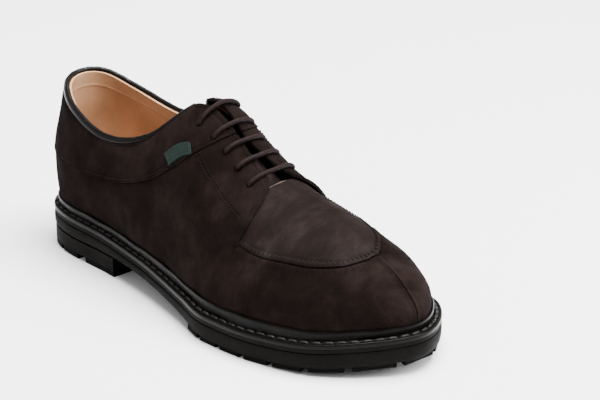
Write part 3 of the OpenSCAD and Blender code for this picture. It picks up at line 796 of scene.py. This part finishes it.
def welt_ring(count=900):
    """The storm welt's section swept round the shoe: lip, stitch groove and raised ridge."""
    u = np.arange(count) * ROUND / count
    f, n = foot(u), outward(u)
    w = row(OVERHANG, u)[:, 0]
    v = RIDGE_H / (3 * row(STATIONS, u)[:, 2])
    inner = UPPER_T + 0.25
    a, b = skin(u, 0 * v, inner), skin(u, v, inner)
    up = b - a
    side_out = skin_normal(u, v * 0.6)
    base_out = np.sum((a[:, :2] - f) * n, 1)
    z = welt_z(f[:, 0])

    def at(out, rise):
        p = f + n * np.reshape(out, (-1, 1))
        return np.column_stack([p, welt_z(p[:, 0]) + rise])

    arc = np.cumsum(np.linalg.norm(np.roll(f, -1, 0) - f, axis=1))
    ripple = 0.12 * np.sin(arc / 3.1) + 0.08 * np.sin(arc / 7.7 + 1)
    thick = 1.25 + 0.15 * np.sin(arc / 5.3)[:, None]
    groove_in = base_out + 1.9
    groove_out = w - 1.7
    mid = (groove_in + groove_out) / 2
    section = [at(w - 0.15, -WELT_T), at(w, -WELT_T + 0.3), at(w + 0.02, -0.5), at(w - 0.12, 0.05),
               at(w - 0.5, 0.34), at(w - 1.0, 0.42), at(w - 1.45, 0.2), at(groove_out - 0.1, -0.25),
               at(mid, -0.2), at(groove_in + 0.3, 0.25), at(groove_in, 0.9)]
    rise = np.array([0, 0, 1]) * ripple[:, None]
    for k in (0.35, 0.6, 0.82, 0.95):
        section.append(a + up * k + side_out * (thick + 0.5 * (1 - k)) + rise * k)
    top = np.array([0, 0, 0.35])
    section += [b + side_out * thick * k + top + rise for k in (0.7, 0.3)] + [b - up * 0.06]
    section += [np.column_stack([a[:, :2], z]), at(-5, 0), at(-5, -WELT_T)]
    points = np.stack(section, 1)
    faces = grid_faces(*points.shape[:2], wrap_m=True, wrap_n=True)
    ring = add_mesh("storm_welt", points.reshape(-1, 3), faces, WELT_LEATHER, smooth=50)
    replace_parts(ring, "welt")

    line_p = at(mid + 0.1, 0.35)
    closed = np.vstack([line_p, line_p[:1]])
    up_n = np.tile([0.0, 0.0, 1.0], (len(closed), 1))
    up_n[:, :2] = 0.35 * np.vstack([n, n[:1]])
    thread = stitch_set("welt_stitches", *resample(closed, up_n, 7.2), 6.3, 1.05, WELT_THREAD, 0.03, 0.8)
    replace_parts(thread, "welt_stitching")


build_sole()
welt_ring()


# ---------------------------------------------------------------- upper
def flip(us):
    return (ROUND - np.asarray(us))[::-1]


def mirrored(u, medial):
    return ROUND - u if medial else u


def collar_seam(s):
    return curve(COLLAR_V, s)


def apron_seam(u):
    return np.where(np.asarray(u) > 10, curve(APRON_MEDIAL_V, ROUND - u), curve(APRON_V, u))


def facing_edge(s):
    return line(FACING_V, s)


COLLAR_FRONT = 5.72
TOPLINE_V = 0.985
FRONT_U = np.linspace(6.72, 7.05, 45)
FACING_TOP = np.arange(4.8, 6.79, 0.05)
ROUND_TOE = np.arange(7.05, 12.951, 0.03)
APRON_SEAM = Seam(ROUND_TOE, apron_seam(ROUND_TOE))
TOE_SEAM = Seam(np.full(60, 10.0), np.linspace(0.03, 0.955, 60))
rear = np.arange(0.3, COLLAR_FRONT, 0.06)
SEAMS = {}
for medial, _ in SIDES:
    SEAMS[medial] = {
        "collar": Seam(mirrored(rear, medial), collar_seam(rear)),
        "front": Seam(mirrored(FRONT_U, medial), facing_edge(FRONT_U)),
        "facing": Seam(mirrored(FACING_TOP, medial), facing_edge(FACING_TOP))}


def soft_waves(u, v):
    """The slight unevenness of soft leather over the last."""
    return 0.35 * (np.sin(2.3 * u + 5 * v + 0.6) * np.sin(9 * v - 1.1 * u) + 0.5 * np.sin(4.7 * u - 7 * v)
                   + 0.35 * np.sin(7.9 * u + 13 * v + 1))


def creases(u, v):
    """Soft flex creases across the vamp, low and behind the ball of the foot."""
    s = side(u)
    wave = np.sin(2 * math.pi * (s * 2.1 + v * 1.3)) + 0.5 * np.sin(2 * math.pi * (s * 3.7 - v * 0.8) + 1)
    return 0.16 * wave * np.exp(-((s - 7.0) / 0.9)**2) * np.exp(-((v - 0.45) / 0.3)**2)


def side_relief(medial):
    seams = SEAMS[medial]

    def relief(u, v, base):
        d, run = APRON_SEAM.near(base)
        toe, _ = TOE_SEAM.near(base)
        rear_d, _ = seams["collar"].near(base)
        front_d, _ = seams["front"].near(base)
        facing_d, _ = seams["facing"].near(base)
        s = side(u)
        out = soft_waves(u, v) + creases(u, v)
        ahead = np.clip((s - 7.02) * 20, 0, 1)
        pucker = 0.16 * np.sin(2 * math.pi * run / 2.9) + 0.07 * np.sin(2 * math.pi * run / 7.3)
        out += ahead * (-1.1 * bump(d, 1.4) + 0.25 * bump(d - 3.4, 1.9) + pucker * bump(d - 3.2, 3.0))
        ridge = 0.45 if medial else 1.0
        out += ridge * bump(toe - 0.7, 1.1) - 0.45 * bump(toe - 3.2, 1.5) * (1 if medial else 0.4)
        hidden = (v > collar_seam(s) - 0.005) & (s < COLLAR_FRONT)
        out += np.where(hidden, -1.0, 0.0) - 0.25 * bump(rear_d, 2.2) * (s < 6)
        out += 1.5 * np.exp(-front_d / 4.5) * (s > 6.4) * (s < 7.06)
        out += -0.35 * bump(facing_d - 2.2, 0.8) * (s > COLLAR_FRONT) - 0.3 * bump(front_d - 2.4, 0.8)
        return out
    return relief


def collar_relief(medial):
    seams = SEAMS[medial]

    def relief(u, v, base):
        d, _ = seams["collar"].near(base)
        facing_d, _ = seams["facing"].near(base)
        out = soft_waves(u, v) + 0.55 * np.exp(-d / 3.5) - 0.3 * bump(d - 2.0, 0.7)
        top = (TOPLINE_V - v) * MM_PER_V
        out += -0.3 * bump(top - 3.2, 0.8) + 0.25 * bump(top - 7, 4)
        return out - 0.35 * bump(facing_d - 2.2, 0.8) * (side(u) > 4.9)
    return relief


def punch(obj, medial):
    """Cuts the eyelets through a panel."""
    bm = bmesh.new()
    for u, v in EYELETS:
        u = mirrored(u, medial)
        centre = (skin(u, v, 1.0).ravel() - MIDDLE) * MM
        turn = Vector(skin_normal(u, v).ravel()).to_track_quat("Z", "Y").to_matrix().to_4x4()
        turn.translation = centre
        bmesh.ops.create_cone(bm, cap_ends=True, segments=28, radius1=EYELET_R * MM, radius2=EYELET_R * MM,
                              depth=9 * MM, matrix=turn)
    cutter = linked("punch", mesh_of("punch", bm))
    mod = obj.modifiers.new("eyelets", "BOOLEAN")
    mod.operation = "DIFFERENCE"
    mod.solver = "EXACT"
    mod.object = cutter
    graph = bpy.context.evaluated_depsgraph_get()
    cut = bpy.data.meshes.new_from_object(obj.evaluated_get(graph), depsgraph=graph)
    obj.modifiers.clear()
    obj.data = cut
    bpy.data.objects.remove(cutter)


FOOT_LOW = level(0.012)


def side_high(medial):
    def high(s):
        tuck = 0.03
        ahead = apron_seam(mirrored(np.maximum(s, 7.05), medial)) - 0.004
        under_collar = np.minimum(collar_seam(s) + tuck, facing_edge(s) - 0.01)
        out = np.where(s < COLLAR_FRONT, under_collar, facing_edge(s))
        return np.where(s > 7.05, ahead, np.maximum(out, np.where(s > 6.9, ahead, 0)))
    return high


def topline(s):
    return np.minimum(TOPLINE_V, facing_edge(s))


DENSE_TOP = np.concatenate([np.linspace(0.04, 0.76, 22), np.linspace(0.775, 0.99, 22)])
DENSE_ENDS = np.concatenate([np.linspace(0.02, 0.2, 9), np.linspace(0.26, 0.74, 9),
                             np.linspace(0.8, 0.98, 9)])
SIDE_U = np.concatenate([np.arange(0.3, 5.5, 0.07), np.arange(5.5, 5.8, 0.02), np.arange(5.82, 6.66, 0.05),
                         np.arange(6.68, 7.1, 0.006), np.arange(7.12, 9.4, 0.018),
                         np.arange(9.42, 9.965, 0.014), [9.985]])
COLLAR_U = np.concatenate([np.arange(0.3, 4.6, 0.06), np.arange(4.62, 5.5, 0.03),
                           np.arange(5.51, 5.715, 0.015)])

for medial, tag in SIDES:
    us = flip(SIDE_U) if medial else SIDE_U
    panel = leather("side_panel_" + tag, us, FOOT_LOW, side_high(medial), DENSE_TOP, SUEDE,
                    relief=side_relief(medial), cut=SUEDE_EDGE_TONE_AND_HIGHLIGHT)
    punch(panel, medial)
    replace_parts(panel, "side_" + tag)
    us = flip(COLLAR_U) if medial else COLLAR_U
    collar = leather("collar_panel_" + tag, us, collar_seam, topline, DENSE_ENDS, SUEDE,
                     top=UPPER_T + 0.25, bottom=0.1, relief=collar_relief(medial), cut=SUEDE_EDGE_TONE_AND_HIGHLIGHT)
    punch(collar, medial)
    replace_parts(collar, "collar_" + tag)


def backstay_relief(u, v, _):
    across_mm = np.abs(np.where(u > 10, u - ROUND, u)) * MM_PER_U
    return 0.5 - 0.35 * bump(across_mm - 5.2, 0.7)


strip = leather("heel_backstay", np.linspace(-0.36, 0.36, 25), FOOT_LOW, level(TOPLINE_V - 0.012), 60, SUEDE,
                top=UPPER_T + 0.3, bottom=0.3, relief=backstay_relief, cut=SUEDE_EDGE_TONE_AND_HIGHLIGHT)
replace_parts(strip, "backstay")


def tab_low(s):
    return 0.81 + 0.2 * s


def tab_relief(u, v, _):
    return 0.12 * np.sin(40 * v)


tab = leather("heel_pull_tab", np.linspace(-0.52, 0.52, 31), tab_low, level(0.965), 14, GLOSSY,
              top=UPPER_T + 1.7, bottom=UPPER_T + 0.75, relief=tab_relief)
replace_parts(tab, "heel_tab")


# ---- topline binding: a rolled strip of glossy leather over the top edge
BIND_COUNT = 420
BIND_U = np.linspace(4.78, -4.78, BIND_COUNT)


def binding_shape(k, a):
    return 1 + 0.05 * np.sin(k * 0.37) * np.cos(a) + 0.03 * np.sin(k * 0.91 + 2 * a)


bind_path = skin(BIND_U, 1.0, 0.45) + np.array([0, 0, 0.1])
ends = np.clip(np.minimum(np.arange(BIND_COUNT), np.arange(BIND_COUNT)[::-1]) / 12, 0.45, 1)
binding = tube("topline_roll", bind_path, 1.45 * ends, 16, GLOSSY, binding_shape)
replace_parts(binding, "topline_binding")
flap = leather("binding_flap", np.linspace(-4.76, 4.76, 260), level(0.958), level(0.997), 5, GLOSSY,
               top=UPPER_T + 0.75, bottom=UPPER_T + 0.1, r=0.3)
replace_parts(flap, "topline_binding")


# ---- apron
SOFT_RIM = [RIM, RIM * 0.5, RIM * 0.18, 0.03]


def over_grid(us, low, rows):
    """A sheet over the ridge: grids of points, and drops of its rounded rim."""
    fractions = np.concatenate([[0, 0.003, 0.007, 0.012], rows, [1.0]])
    lo = low(us)
    v = lo[:, None] + (1 - lo[:, None]) * fractions
    u = np.broadcast_to(us[:, None], v.shape)
    drop_v, drop_u = rim_drops(len(fractions), SOFT_RIM), rim_drops(len(us), SOFT_RIM)
    return u, v, np.maximum(drop_v[None, :], drop_u[:, None])


def both_sides(grid_lateral, grid_medial):
    return np.concatenate([grid_lateral, grid_medial[:, -2::-1]], 1)


def over_sheet(name, us, low, rows, top, thick, relief, material):
    """A sheet over the ridge whose front end follows its seam round the toe."""
    grids, drops = [], []
    for medial, _ in SIDES:
        u, v, drop = over_grid(us, lambda s: low(mirrored(s, medial)), rows)
        w = mirrored(u, medial)
        base, nn = skin(w, v), skin_normal(w, v)
        extra = relief(w, v, base)
        t = top(u)
        under = t - thick + np.minimum(extra, 0) * 0.4 + np.maximum(extra, 0) * 0.8
        grids.append((base + nn * (t - drop + extra)[..., None], base + nn * under[..., None]))
        drops.append(drop)
    (a, ai), (b, bi) = grids
    a[:, -1] = (a[:, -1] + b[:, -1]) / 2
    ai[:, -1] = (ai[:, -1] + bi[:, -1]) / 2
    outer, inner, drop = both_sides(a, b), both_sides(ai, bi), both_sides(*drops)
    middle = a.shape[1] - 1
    outer, inner = ridge_blend(outer, middle, 9), ridge_blend(inner, middle, 9)
    round_tip = np.linspace(us[-1], ROUND - us[-1], outer.shape[1])
    for rim, shift in ((0.1, 0.008), (RIM, 0.0)):
        v = low(round_tip) + shift
        base, nn = skin(round_tip, v), skin_normal(round_tip, v)
        t = top(np.array([10.0]))
        outer = np.concatenate([outer, (base + nn * (t - rim))[None]])
        inner = np.concatenate([inner, (base + nn * (t - thick))[None]])
        drop = np.concatenate([drop, np.full((1, outer.shape[1]), rim)])
    return finish_sheet(name, outer, inner, drop, material)


def apron_top(u):
    rise = np.array([[6.7, -0.2], [7.06, -0.2], [7.4, 1.0], [10, 1.35]])
    return curve(rise, u) + 0.35 * np.clip((u - 7.3) * 3, 0, 1)


def apron_relief(u, v, base):
    d, run = APRON_SEAM.near(base)
    ahead = np.clip((side(u) - 7.06) * 6, 0, 1)
    pucker = 0.13 * np.sin(2 * math.pi * run / 2.9 + 1)
    out = 0.6 * soft_waves(u, v)
    return out + ahead * (0.6 * bump(d - 0.9, 1.1) - 0.25 * bump(d - 2.9, 0.9) + pucker * bump(d - 1.6, 1.8))


APRON_U = np.concatenate([np.linspace(6.8, 6.815, 4), np.arange(6.84, 9.3, 0.022),
                          np.arange(9.31, 9.93, 0.012)])
APRON_ROWS = np.concatenate([np.linspace(0.02, 0.22, 18), np.linspace(0.25, 0.96, 26)])
# The apron gets the lighter copy of the suede, its extra lightness painted light from above.
apron = over_sheet("apron_panel", APRON_U, lambda u: apron_seam(u) - 0.004, APRON_ROWS, apron_top, UPPER_T,
                   apron_relief, SUEDE_PAINTED_LIGHT)
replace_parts(apron, "apron")


# ---------------------------------------------------------------- tongue, linings
TONGUE_TOP = -5.6
TONGUE_LOW = np.array([[5.1, 0.78], [6.72, 0.78]])


def tongue_half(u, v_rows, off):
    """Points under one side's wall: towards the ridge they lie straight below it."""
    low = line(TONGUE_LOW, np.array([side(u)]))[0]
    us, v = np.full(len(v_rows), float(u)), low + (1 - low) * v_rows
    down = skin_normal(us, v) * (1 - v_rows[:, None]) + np.array([0, 0, 1]) * v_rows[:, None]
    return skin(us, v) + off * down / np.linalg.norm(down, axis=1)[:, None]


def tongue_strip(u, v_rows, off):
    """One row across the tongue from the lateral edge over the ridge to the medial edge."""
    a, b = tongue_half(u, v_rows, off), tongue_half(ROUND - u, v_rows, off)
    return np.concatenate([a[:-1], [(a[-1] + b[-1]) / 2], b[-2::-1]])


def tongue_grid(us, v_rows, off):
    """Behind station 5.1 the tongue carries straight on, curls down and narrows."""
    edge_u, next_u, curl, narrow = 5.1, 5.5, 6, 0.15
    reach = tongue_strip(edge_u, v_rows, TONGUE_TOP) - tongue_strip(next_u, v_rows, TONGUE_TOP)
    start = tongue_strip(edge_u, v_rows, off)
    middle = len(v_rows) - 1
    out = []
    for u in us:
        t = (edge_u - u) / (next_u - edge_u)
        if t > 0:
            strip = start + reach * t - np.array([0, 0, curl * t * t])
            strip[:, 1] += (strip[middle, 1] - strip[:, 1]) * narrow * t
        else:
            strip = tongue_strip(u, v_rows, off)
        out.append(strip)
    return np.array(out)


def tongue_sheet(name, top, thick, material, cut=None):
    us = np.concatenate([[4.4, 4.402, 4.406, 4.415], np.arange(4.45, 6.7, 0.035), [6.72]])
    rows = np.concatenate([[0, 0.006, 0.015, 0.03], np.linspace(0.06, 1, 22)])
    outer = tongue_grid(us, rows, top)
    inner = tongue_grid(us, rows, top - thick)
    drops = [RIM, 0.22, 0.08, 0.02]
    drop_v, drop_u = rim_drops(len(rows), drops), rim_drops(len(us), drops)
    drop_v = np.concatenate([drop_v, drop_v[-2::-1]])
    drop = np.maximum(drop_v[None, :], drop_u[:, None])
    down = inner - outer
    down /= np.linalg.norm(down, axis=2)[..., None]
    k = np.arange(len(us))[:, None]
    j = np.arange(outer.shape[1])[None, :]
    wave = 0.25 * np.sin(k * 0.16 + j * 0.21) + 0.15 * np.sin(k * 0.31 - j * 0.17 + 1)
    outer = outer + down * (drop + wave)[..., None]
    inner = inner + down * (wave * 0.8)[..., None]
    middle = len(rows) - 1
    outer, inner = ridge_blend(outer, middle, 6), ridge_blend(inner, middle, 6)
    return finish_sheet(name, outer, inner, drop, material, TONGUE, cut)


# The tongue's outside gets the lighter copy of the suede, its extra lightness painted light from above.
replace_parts(tongue_sheet("tongue_suede", TONGUE_TOP, 1.5, SUEDE_PAINTED_LIGHT, SUEDE_EDGE_TONE_AND_HIGHLIGHT), "tongue")
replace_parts(tongue_sheet("tongue_back", TONGUE_TOP - 1.6, 1.0, TAN), "tongue_lining")


def lining_relief(u, v, _):
    top = (TOPLINE_V - v) * MM_PER_V
    back = np.abs(np.where(u > 10, u - ROUND, u)) * MM_PER_U
    return -(0.35 * bump(top - 8.0, 0.7) + 0.25 * bump(back - 9, 0.9) + 0.4 * soft_waves(u, v))


LINING_HIGH = np.array([[0, 0.99], [4.62, 0.99], [4.9, 0.74], [5.7, 0.72]])
LINING_U = np.concatenate([np.linspace(-5.7, -4.55, 24), np.arange(-4.5, 4.51, 0.07),
                           np.linspace(4.55, 5.7, 24)])
LINING_ROWS = np.concatenate([np.linspace(0.05, 0.8, 16), np.linspace(0.82, 0.99, 22)])
lining = leather("quarter_lining_skin", LINING_U, level(0.08), lambda s: line(LINING_HIGH, s), LINING_ROWS,
                 TAN, top=-0.9, bottom=-2.4, relief=lining_relief, r=0.4)
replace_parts(lining, "quarter_lining")

INSOLE_INSET = 10.5
sock_band = [(INSOLE_INSET + 1.6, 0.0), (INSOLE_INSET + 1.1, 0.25), (INSOLE_INSET + 1.0, 1.0)]
sock = sole_layer("sock_sheet", sole_columns(160), sock_band, lambda x: welt_z(x) + INSOLE_T + 1.1,
                  lambda x: welt_z(x) + INSOLE_T + 0.1, TAN, crossings=10)
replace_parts(sock, "sock_lining")


# ---------------------------------------------------------------- lace
INSIDE = -3.25
OVER = UPPER_T + 0.2 + LACE_R
TAIL_V = 0.775


def thread_in(e):
    return [[e[0], e[1], OVER - 0.6], [e[0], e[1], 0.3], [e[0], e[1], -2.4]]


def bar(e):
    """Across the shoe from a lateral eyelet to the medial one."""
    half_bar = [[e[0], e[1] + 0.04, OVER + 0.3], [e[0], 0.93, OVER + 0.3], [e[0], 0.98, OVER + 0.2]]
    return half_bar + [[ROUND - u, v, off] for u, v, off in half_bar[::-1]]


def hole(k, medial):
    return [mirrored(EYELETS[k][0], medial), EYELETS[k][1]]


def behind(a, b, v):
    """A stretch behind the facing between two eyelets, at wall height v."""
    return [[a[0] + (b[0] - a[0]) * t, w, INSIDE]
            for t, w in ((0.2, a[1] + (v - a[1]) * 0.6), (0.5, v), (0.8, b[1] + (v - b[1]) * 0.6))]


def lace_route():
    """Bars 0, 2 and 4 go forward and 3 and 1 come back, with the ends tucked behind the facings."""
    route = [[5.85, TAIL_V, INSIDE], [5.6, TAIL_V, INSIDE], [5.3, 0.79, INSIDE]]
    order = [0, 2, 4, 3, 1]
    for turn, k in enumerate(order):
        backward = turn % 2 == 1
        route += thread_in(hole(k, backward))[::-1] + bar(hole(k, False))[::-1 if backward else 1]
        route += thread_in(hole(k, not backward))
        if turn + 1 < len(order):
            following = order[turn + 1]
            height = 0.895 if following > k else 0.81
            route += behind(hole(k, not backward), hole(following, not backward), height)
    return np.array(route + [[14.4, 0.79, INSIDE], [14.15, TAIL_V, INSIDE], [13.85, TAIL_V, INSIDE]])


ROUTE = lace_route()
LACE_PATH = skin(ROUTE[:, 0], ROUTE[:, 1], ROUTE[:, 2])


def braid(k, a):
    """The woven surface of a round lace: two sets of strands crossing."""
    turn = k * 0.42
    return 1 + 0.055 * np.abs(np.sin(3 * a + turn)) + 0.055 * np.abs(np.sin(3 * a - turn)) - 0.06


smooth_path = spline(LACE_PATH, 10)
length = measured(smooth_path)
smooth_path = at_lengths(smooth_path, length, np.linspace(0, length[-1], int(length[-1] / 0.42)))
lace = tube("round_lace", smooth_path, LACE_R, 18, LACE, braid)
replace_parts(lace, "lace")


def aglet_shape(k, a):
    return 1 + 0.06 * np.exp(-((k - 1) / 1.2)**2) + 0 * a


for tip, before, tag in ((LACE_PATH[0], LACE_PATH[1], "lateral"), (LACE_PATH[-1], LACE_PATH[-2], "medial")):
    d = (tip - before) / np.linalg.norm(tip - before)
    path = tip + d * np.linspace(-0.5, 12, 14)[:, None]
    sheath = tube("aglet_" + tag, path, np.append(np.full(13, LACE_R - 0.1), 0.9), 16, SHEATH,
                  aglet_shape)
    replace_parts(sheath, "aglets")


# ---------------------------------------------------------------- label and stitching
LABEL_CORNERS = [[4.9, 0.58], [5.4, 0.69], [4.67, 0.66], [5.24, 0.728]]


def label_point(s, t, off):
    """A point of the label: s from bottom to top, t from rear to front, both 0 to 1."""
    c = np.array(LABEL_CORNERS)
    s, t = np.asarray(s, float)[..., None], np.asarray(t, float)[..., None]
    p = (c[0] * (1 - t) + c[1] * t) * (1 - s) + (c[2] * (1 - t) + c[3] * t) * s
    return skin(p[..., 0], p[..., 1], off)


def build_label():
    s, t = np.meshgrid(np.linspace(0, 1, 26), np.linspace(0, 1, 40), indexing="ij")
    rim = np.minimum(np.minimum(s, 1 - s) * 10.5, np.minimum(t, 1 - t) * 19.0)
    lift = 0.55 * np.clip(rim / 0.5, 0, 1)**0.5 - 0.22 * bump(rim - 1.2, 0.5) + 0.08 * np.sin(t * 9 + s * 4)
    outer = label_point(s, t, UPPER_T + 1.0 + lift)
    inner = label_point(s, t, UPPER_T + 0.75)
    tag = finish_sheet("woven_label", outer, inner, 0 * s, LABEL)
    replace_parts(tag, "side_label")
    near_s, near_t = 0.12, 0.065
    far_s, far_t = 1 - near_s, 1 - near_t
    corners = [(near_s, near_t), (near_s, far_t), (far_s, far_t), (far_s, near_t), (near_s, near_t)]
    line_st = np.concatenate([np.linspace(a, b, 30) for a, b in zip(corners, corners[1:])])
    path = label_point(line_st[:, 0], line_st[:, 1], UPPER_T + 1.55)
    facing = skin_normal(np.full(len(path), 5.05), 0.68)
    thread = stitch_set("label_stitches", *resample(path, facing, 1.5), 1.15, 0.16, LABEL_THREAD)
    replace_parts(thread, "side_label")


build_label()


def row_of_stitches(name, seam, mm, off):
    """Stitches beside a seam, mm to its left seen from outside."""
    return stitch_set(name, *resample(*seam.beside(mm, off), 2.0), 1.5, 0.2, THREAD)


def cross_stitches(name, seam, mm, off, pitch, length, r):
    """Stitches lying across a seam instead of along it."""
    p, nn = resample(*seam.beside(mm, off), pitch)
    across = unit(np.cross(nn, unit(np.gradient(p, axis=0))))
    return stitch_mesh(name, p, across, unit(np.cross(nn, across)), nn, *capsule(length, r), THREAD)


apron_ticks = cross_stitches("apron_seam_stitches", APRON_SEAM, 1.9, UPPER_T + 0.55, 2.9, 2.7, 0.3)
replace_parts(apron_ticks, "apron_stitching")
for medial, tag in SIDES:
    sign = -1 if medial else 1
    seams = SEAMS[medial]
    row_of_stitches("collar_stitches_" + tag, seams["collar"], 2.0 * sign, UPPER_T + 0.45)
    row_of_stitches("facing_stitches_" + tag, seams["facing"], -2.2 * sign, UPPER_T + 0.25)
    row_of_stitches("facing_front_stitches_" + tag, seams["front"], -2.4 * sign, UPPER_T + 0.85)
    band = np.arange(5.5, 6.97, 0.05)
    inner_row = Seam(mirrored(band, medial), 0.72 - 0.05 * (band - 5.5))
    for shift in (-1.1, 1.1):
        row_of_stitches("facing_band_%s_%d" % (tag, shift > 0), inner_row, shift, UPPER_T + 0.3)
TOP_U = np.linspace(0.42, 4.6, 300)
STAY_V = np.linspace(0.04, 0.93, 200)
for medial, tag in SIDES:
    stitches("topline_stitches_" + tag, mirrored(TOP_U, medial), TOPLINE_V - 0.05, UPPER_T + 0.35, 2.0, 1.5,
             0.2, THREAD)
    stitches("lining_stitches_" + tag, mirrored(TOP_U, medial), TOPLINE_V - 0.13, -2.7, 2.4, 1.8, 0.22,
             TAN_THREAD)
    stitches("backstay_stitches_" + tag, mirrored(0.25, medial), STAY_V, UPPER_T + 0.85, 2.0, 1.5, 0.2,
             THREAD)


# ---------------------------------------------------------------- CAD nodes that stay
for node, material in (("heel_nails", STEEL), ("shank", STEEL), ("cork_filler", CORK), ("insole", BOARD),
                       ("heel_counter", BOARD), ("toe_puff", BOARD), ("vamp_lining", TWILL),
                       ("facing_lining_lateral", DARK_BACKING), ("facing_lining_medial", DARK_BACKING)):
    finish_node(node, material)


# ---------------------------------------------------------------- stage, light, camera
def build_stage():
    bm = bmesh.new()
    bmesh.ops.create_grid(bm, x_segments=8, y_segments=8, size=3)
    floor = linked("floor", mesh_of("floor", bm))
    floor.data.materials.append(floor_look())


def area_light(name, place, target, size, watts):
    data = bpy.data.lights.new(name, "AREA")
    data.shape = "RECTANGLE"
    data.size, data.size_y = size
    data.energy = watts
    obj = linked(name, data)
    obj.location = place
    obj.rotation_euler = (Vector(target) - Vector(place)).to_track_quat("-Z", "Y").to_euler()


def build_lights():
    world = bpy.data.worlds.new("studio")
    world.use_nodes = True
    back = world.node_tree.nodes["Background"]
    back.inputs["Color"].default_value = (1, 1, 1, 1)
    back.inputs["Strength"].default_value = 0.7
    bpy.context.scene.world = world
    area_light("softbox_top", (0.25, 0.25, 1.6), (0, 0, 0.03), (1.4, 1.4), 170)
    area_light("softbox_toe", (1.3, 0.9, 0.8), (0.1, 0, 0.05), (0.9, 0.9), 32)
    area_light("softbox_front", (0.1, -1.6, 0.9), (0, 0, 0.05), (1.2, 0.8), 3)


def build_camera():
    """Looks from the toe's lateral side, a little above."""
    az, el, distance = math.radians(46.6), math.radians(22.1), 2.136
    right = Vector((math.cos(az), math.sin(az), 0))
    back = Vector((math.sin(az) * math.cos(el), -math.cos(az) * math.cos(el), math.sin(el)))
    up = back.cross(right)
    middle = Vector((0.00025, 0.00602, 0.04))
    aim = middle + right * 0.0341 + up * 0.0187
    data = bpy.data.cameras.new("photo_view")
    data.sensor_width = 36
    data.lens = 219.6
    data.clip_end = 20
    cam = linked("photo_view", data)
    cam.location = aim + back * distance
    cam.rotation_euler = (-back).to_track_quat("-Z", "Y").to_euler()
    bpy.context.scene.camera = cam


build_stage()
build_lights()
build_camera()
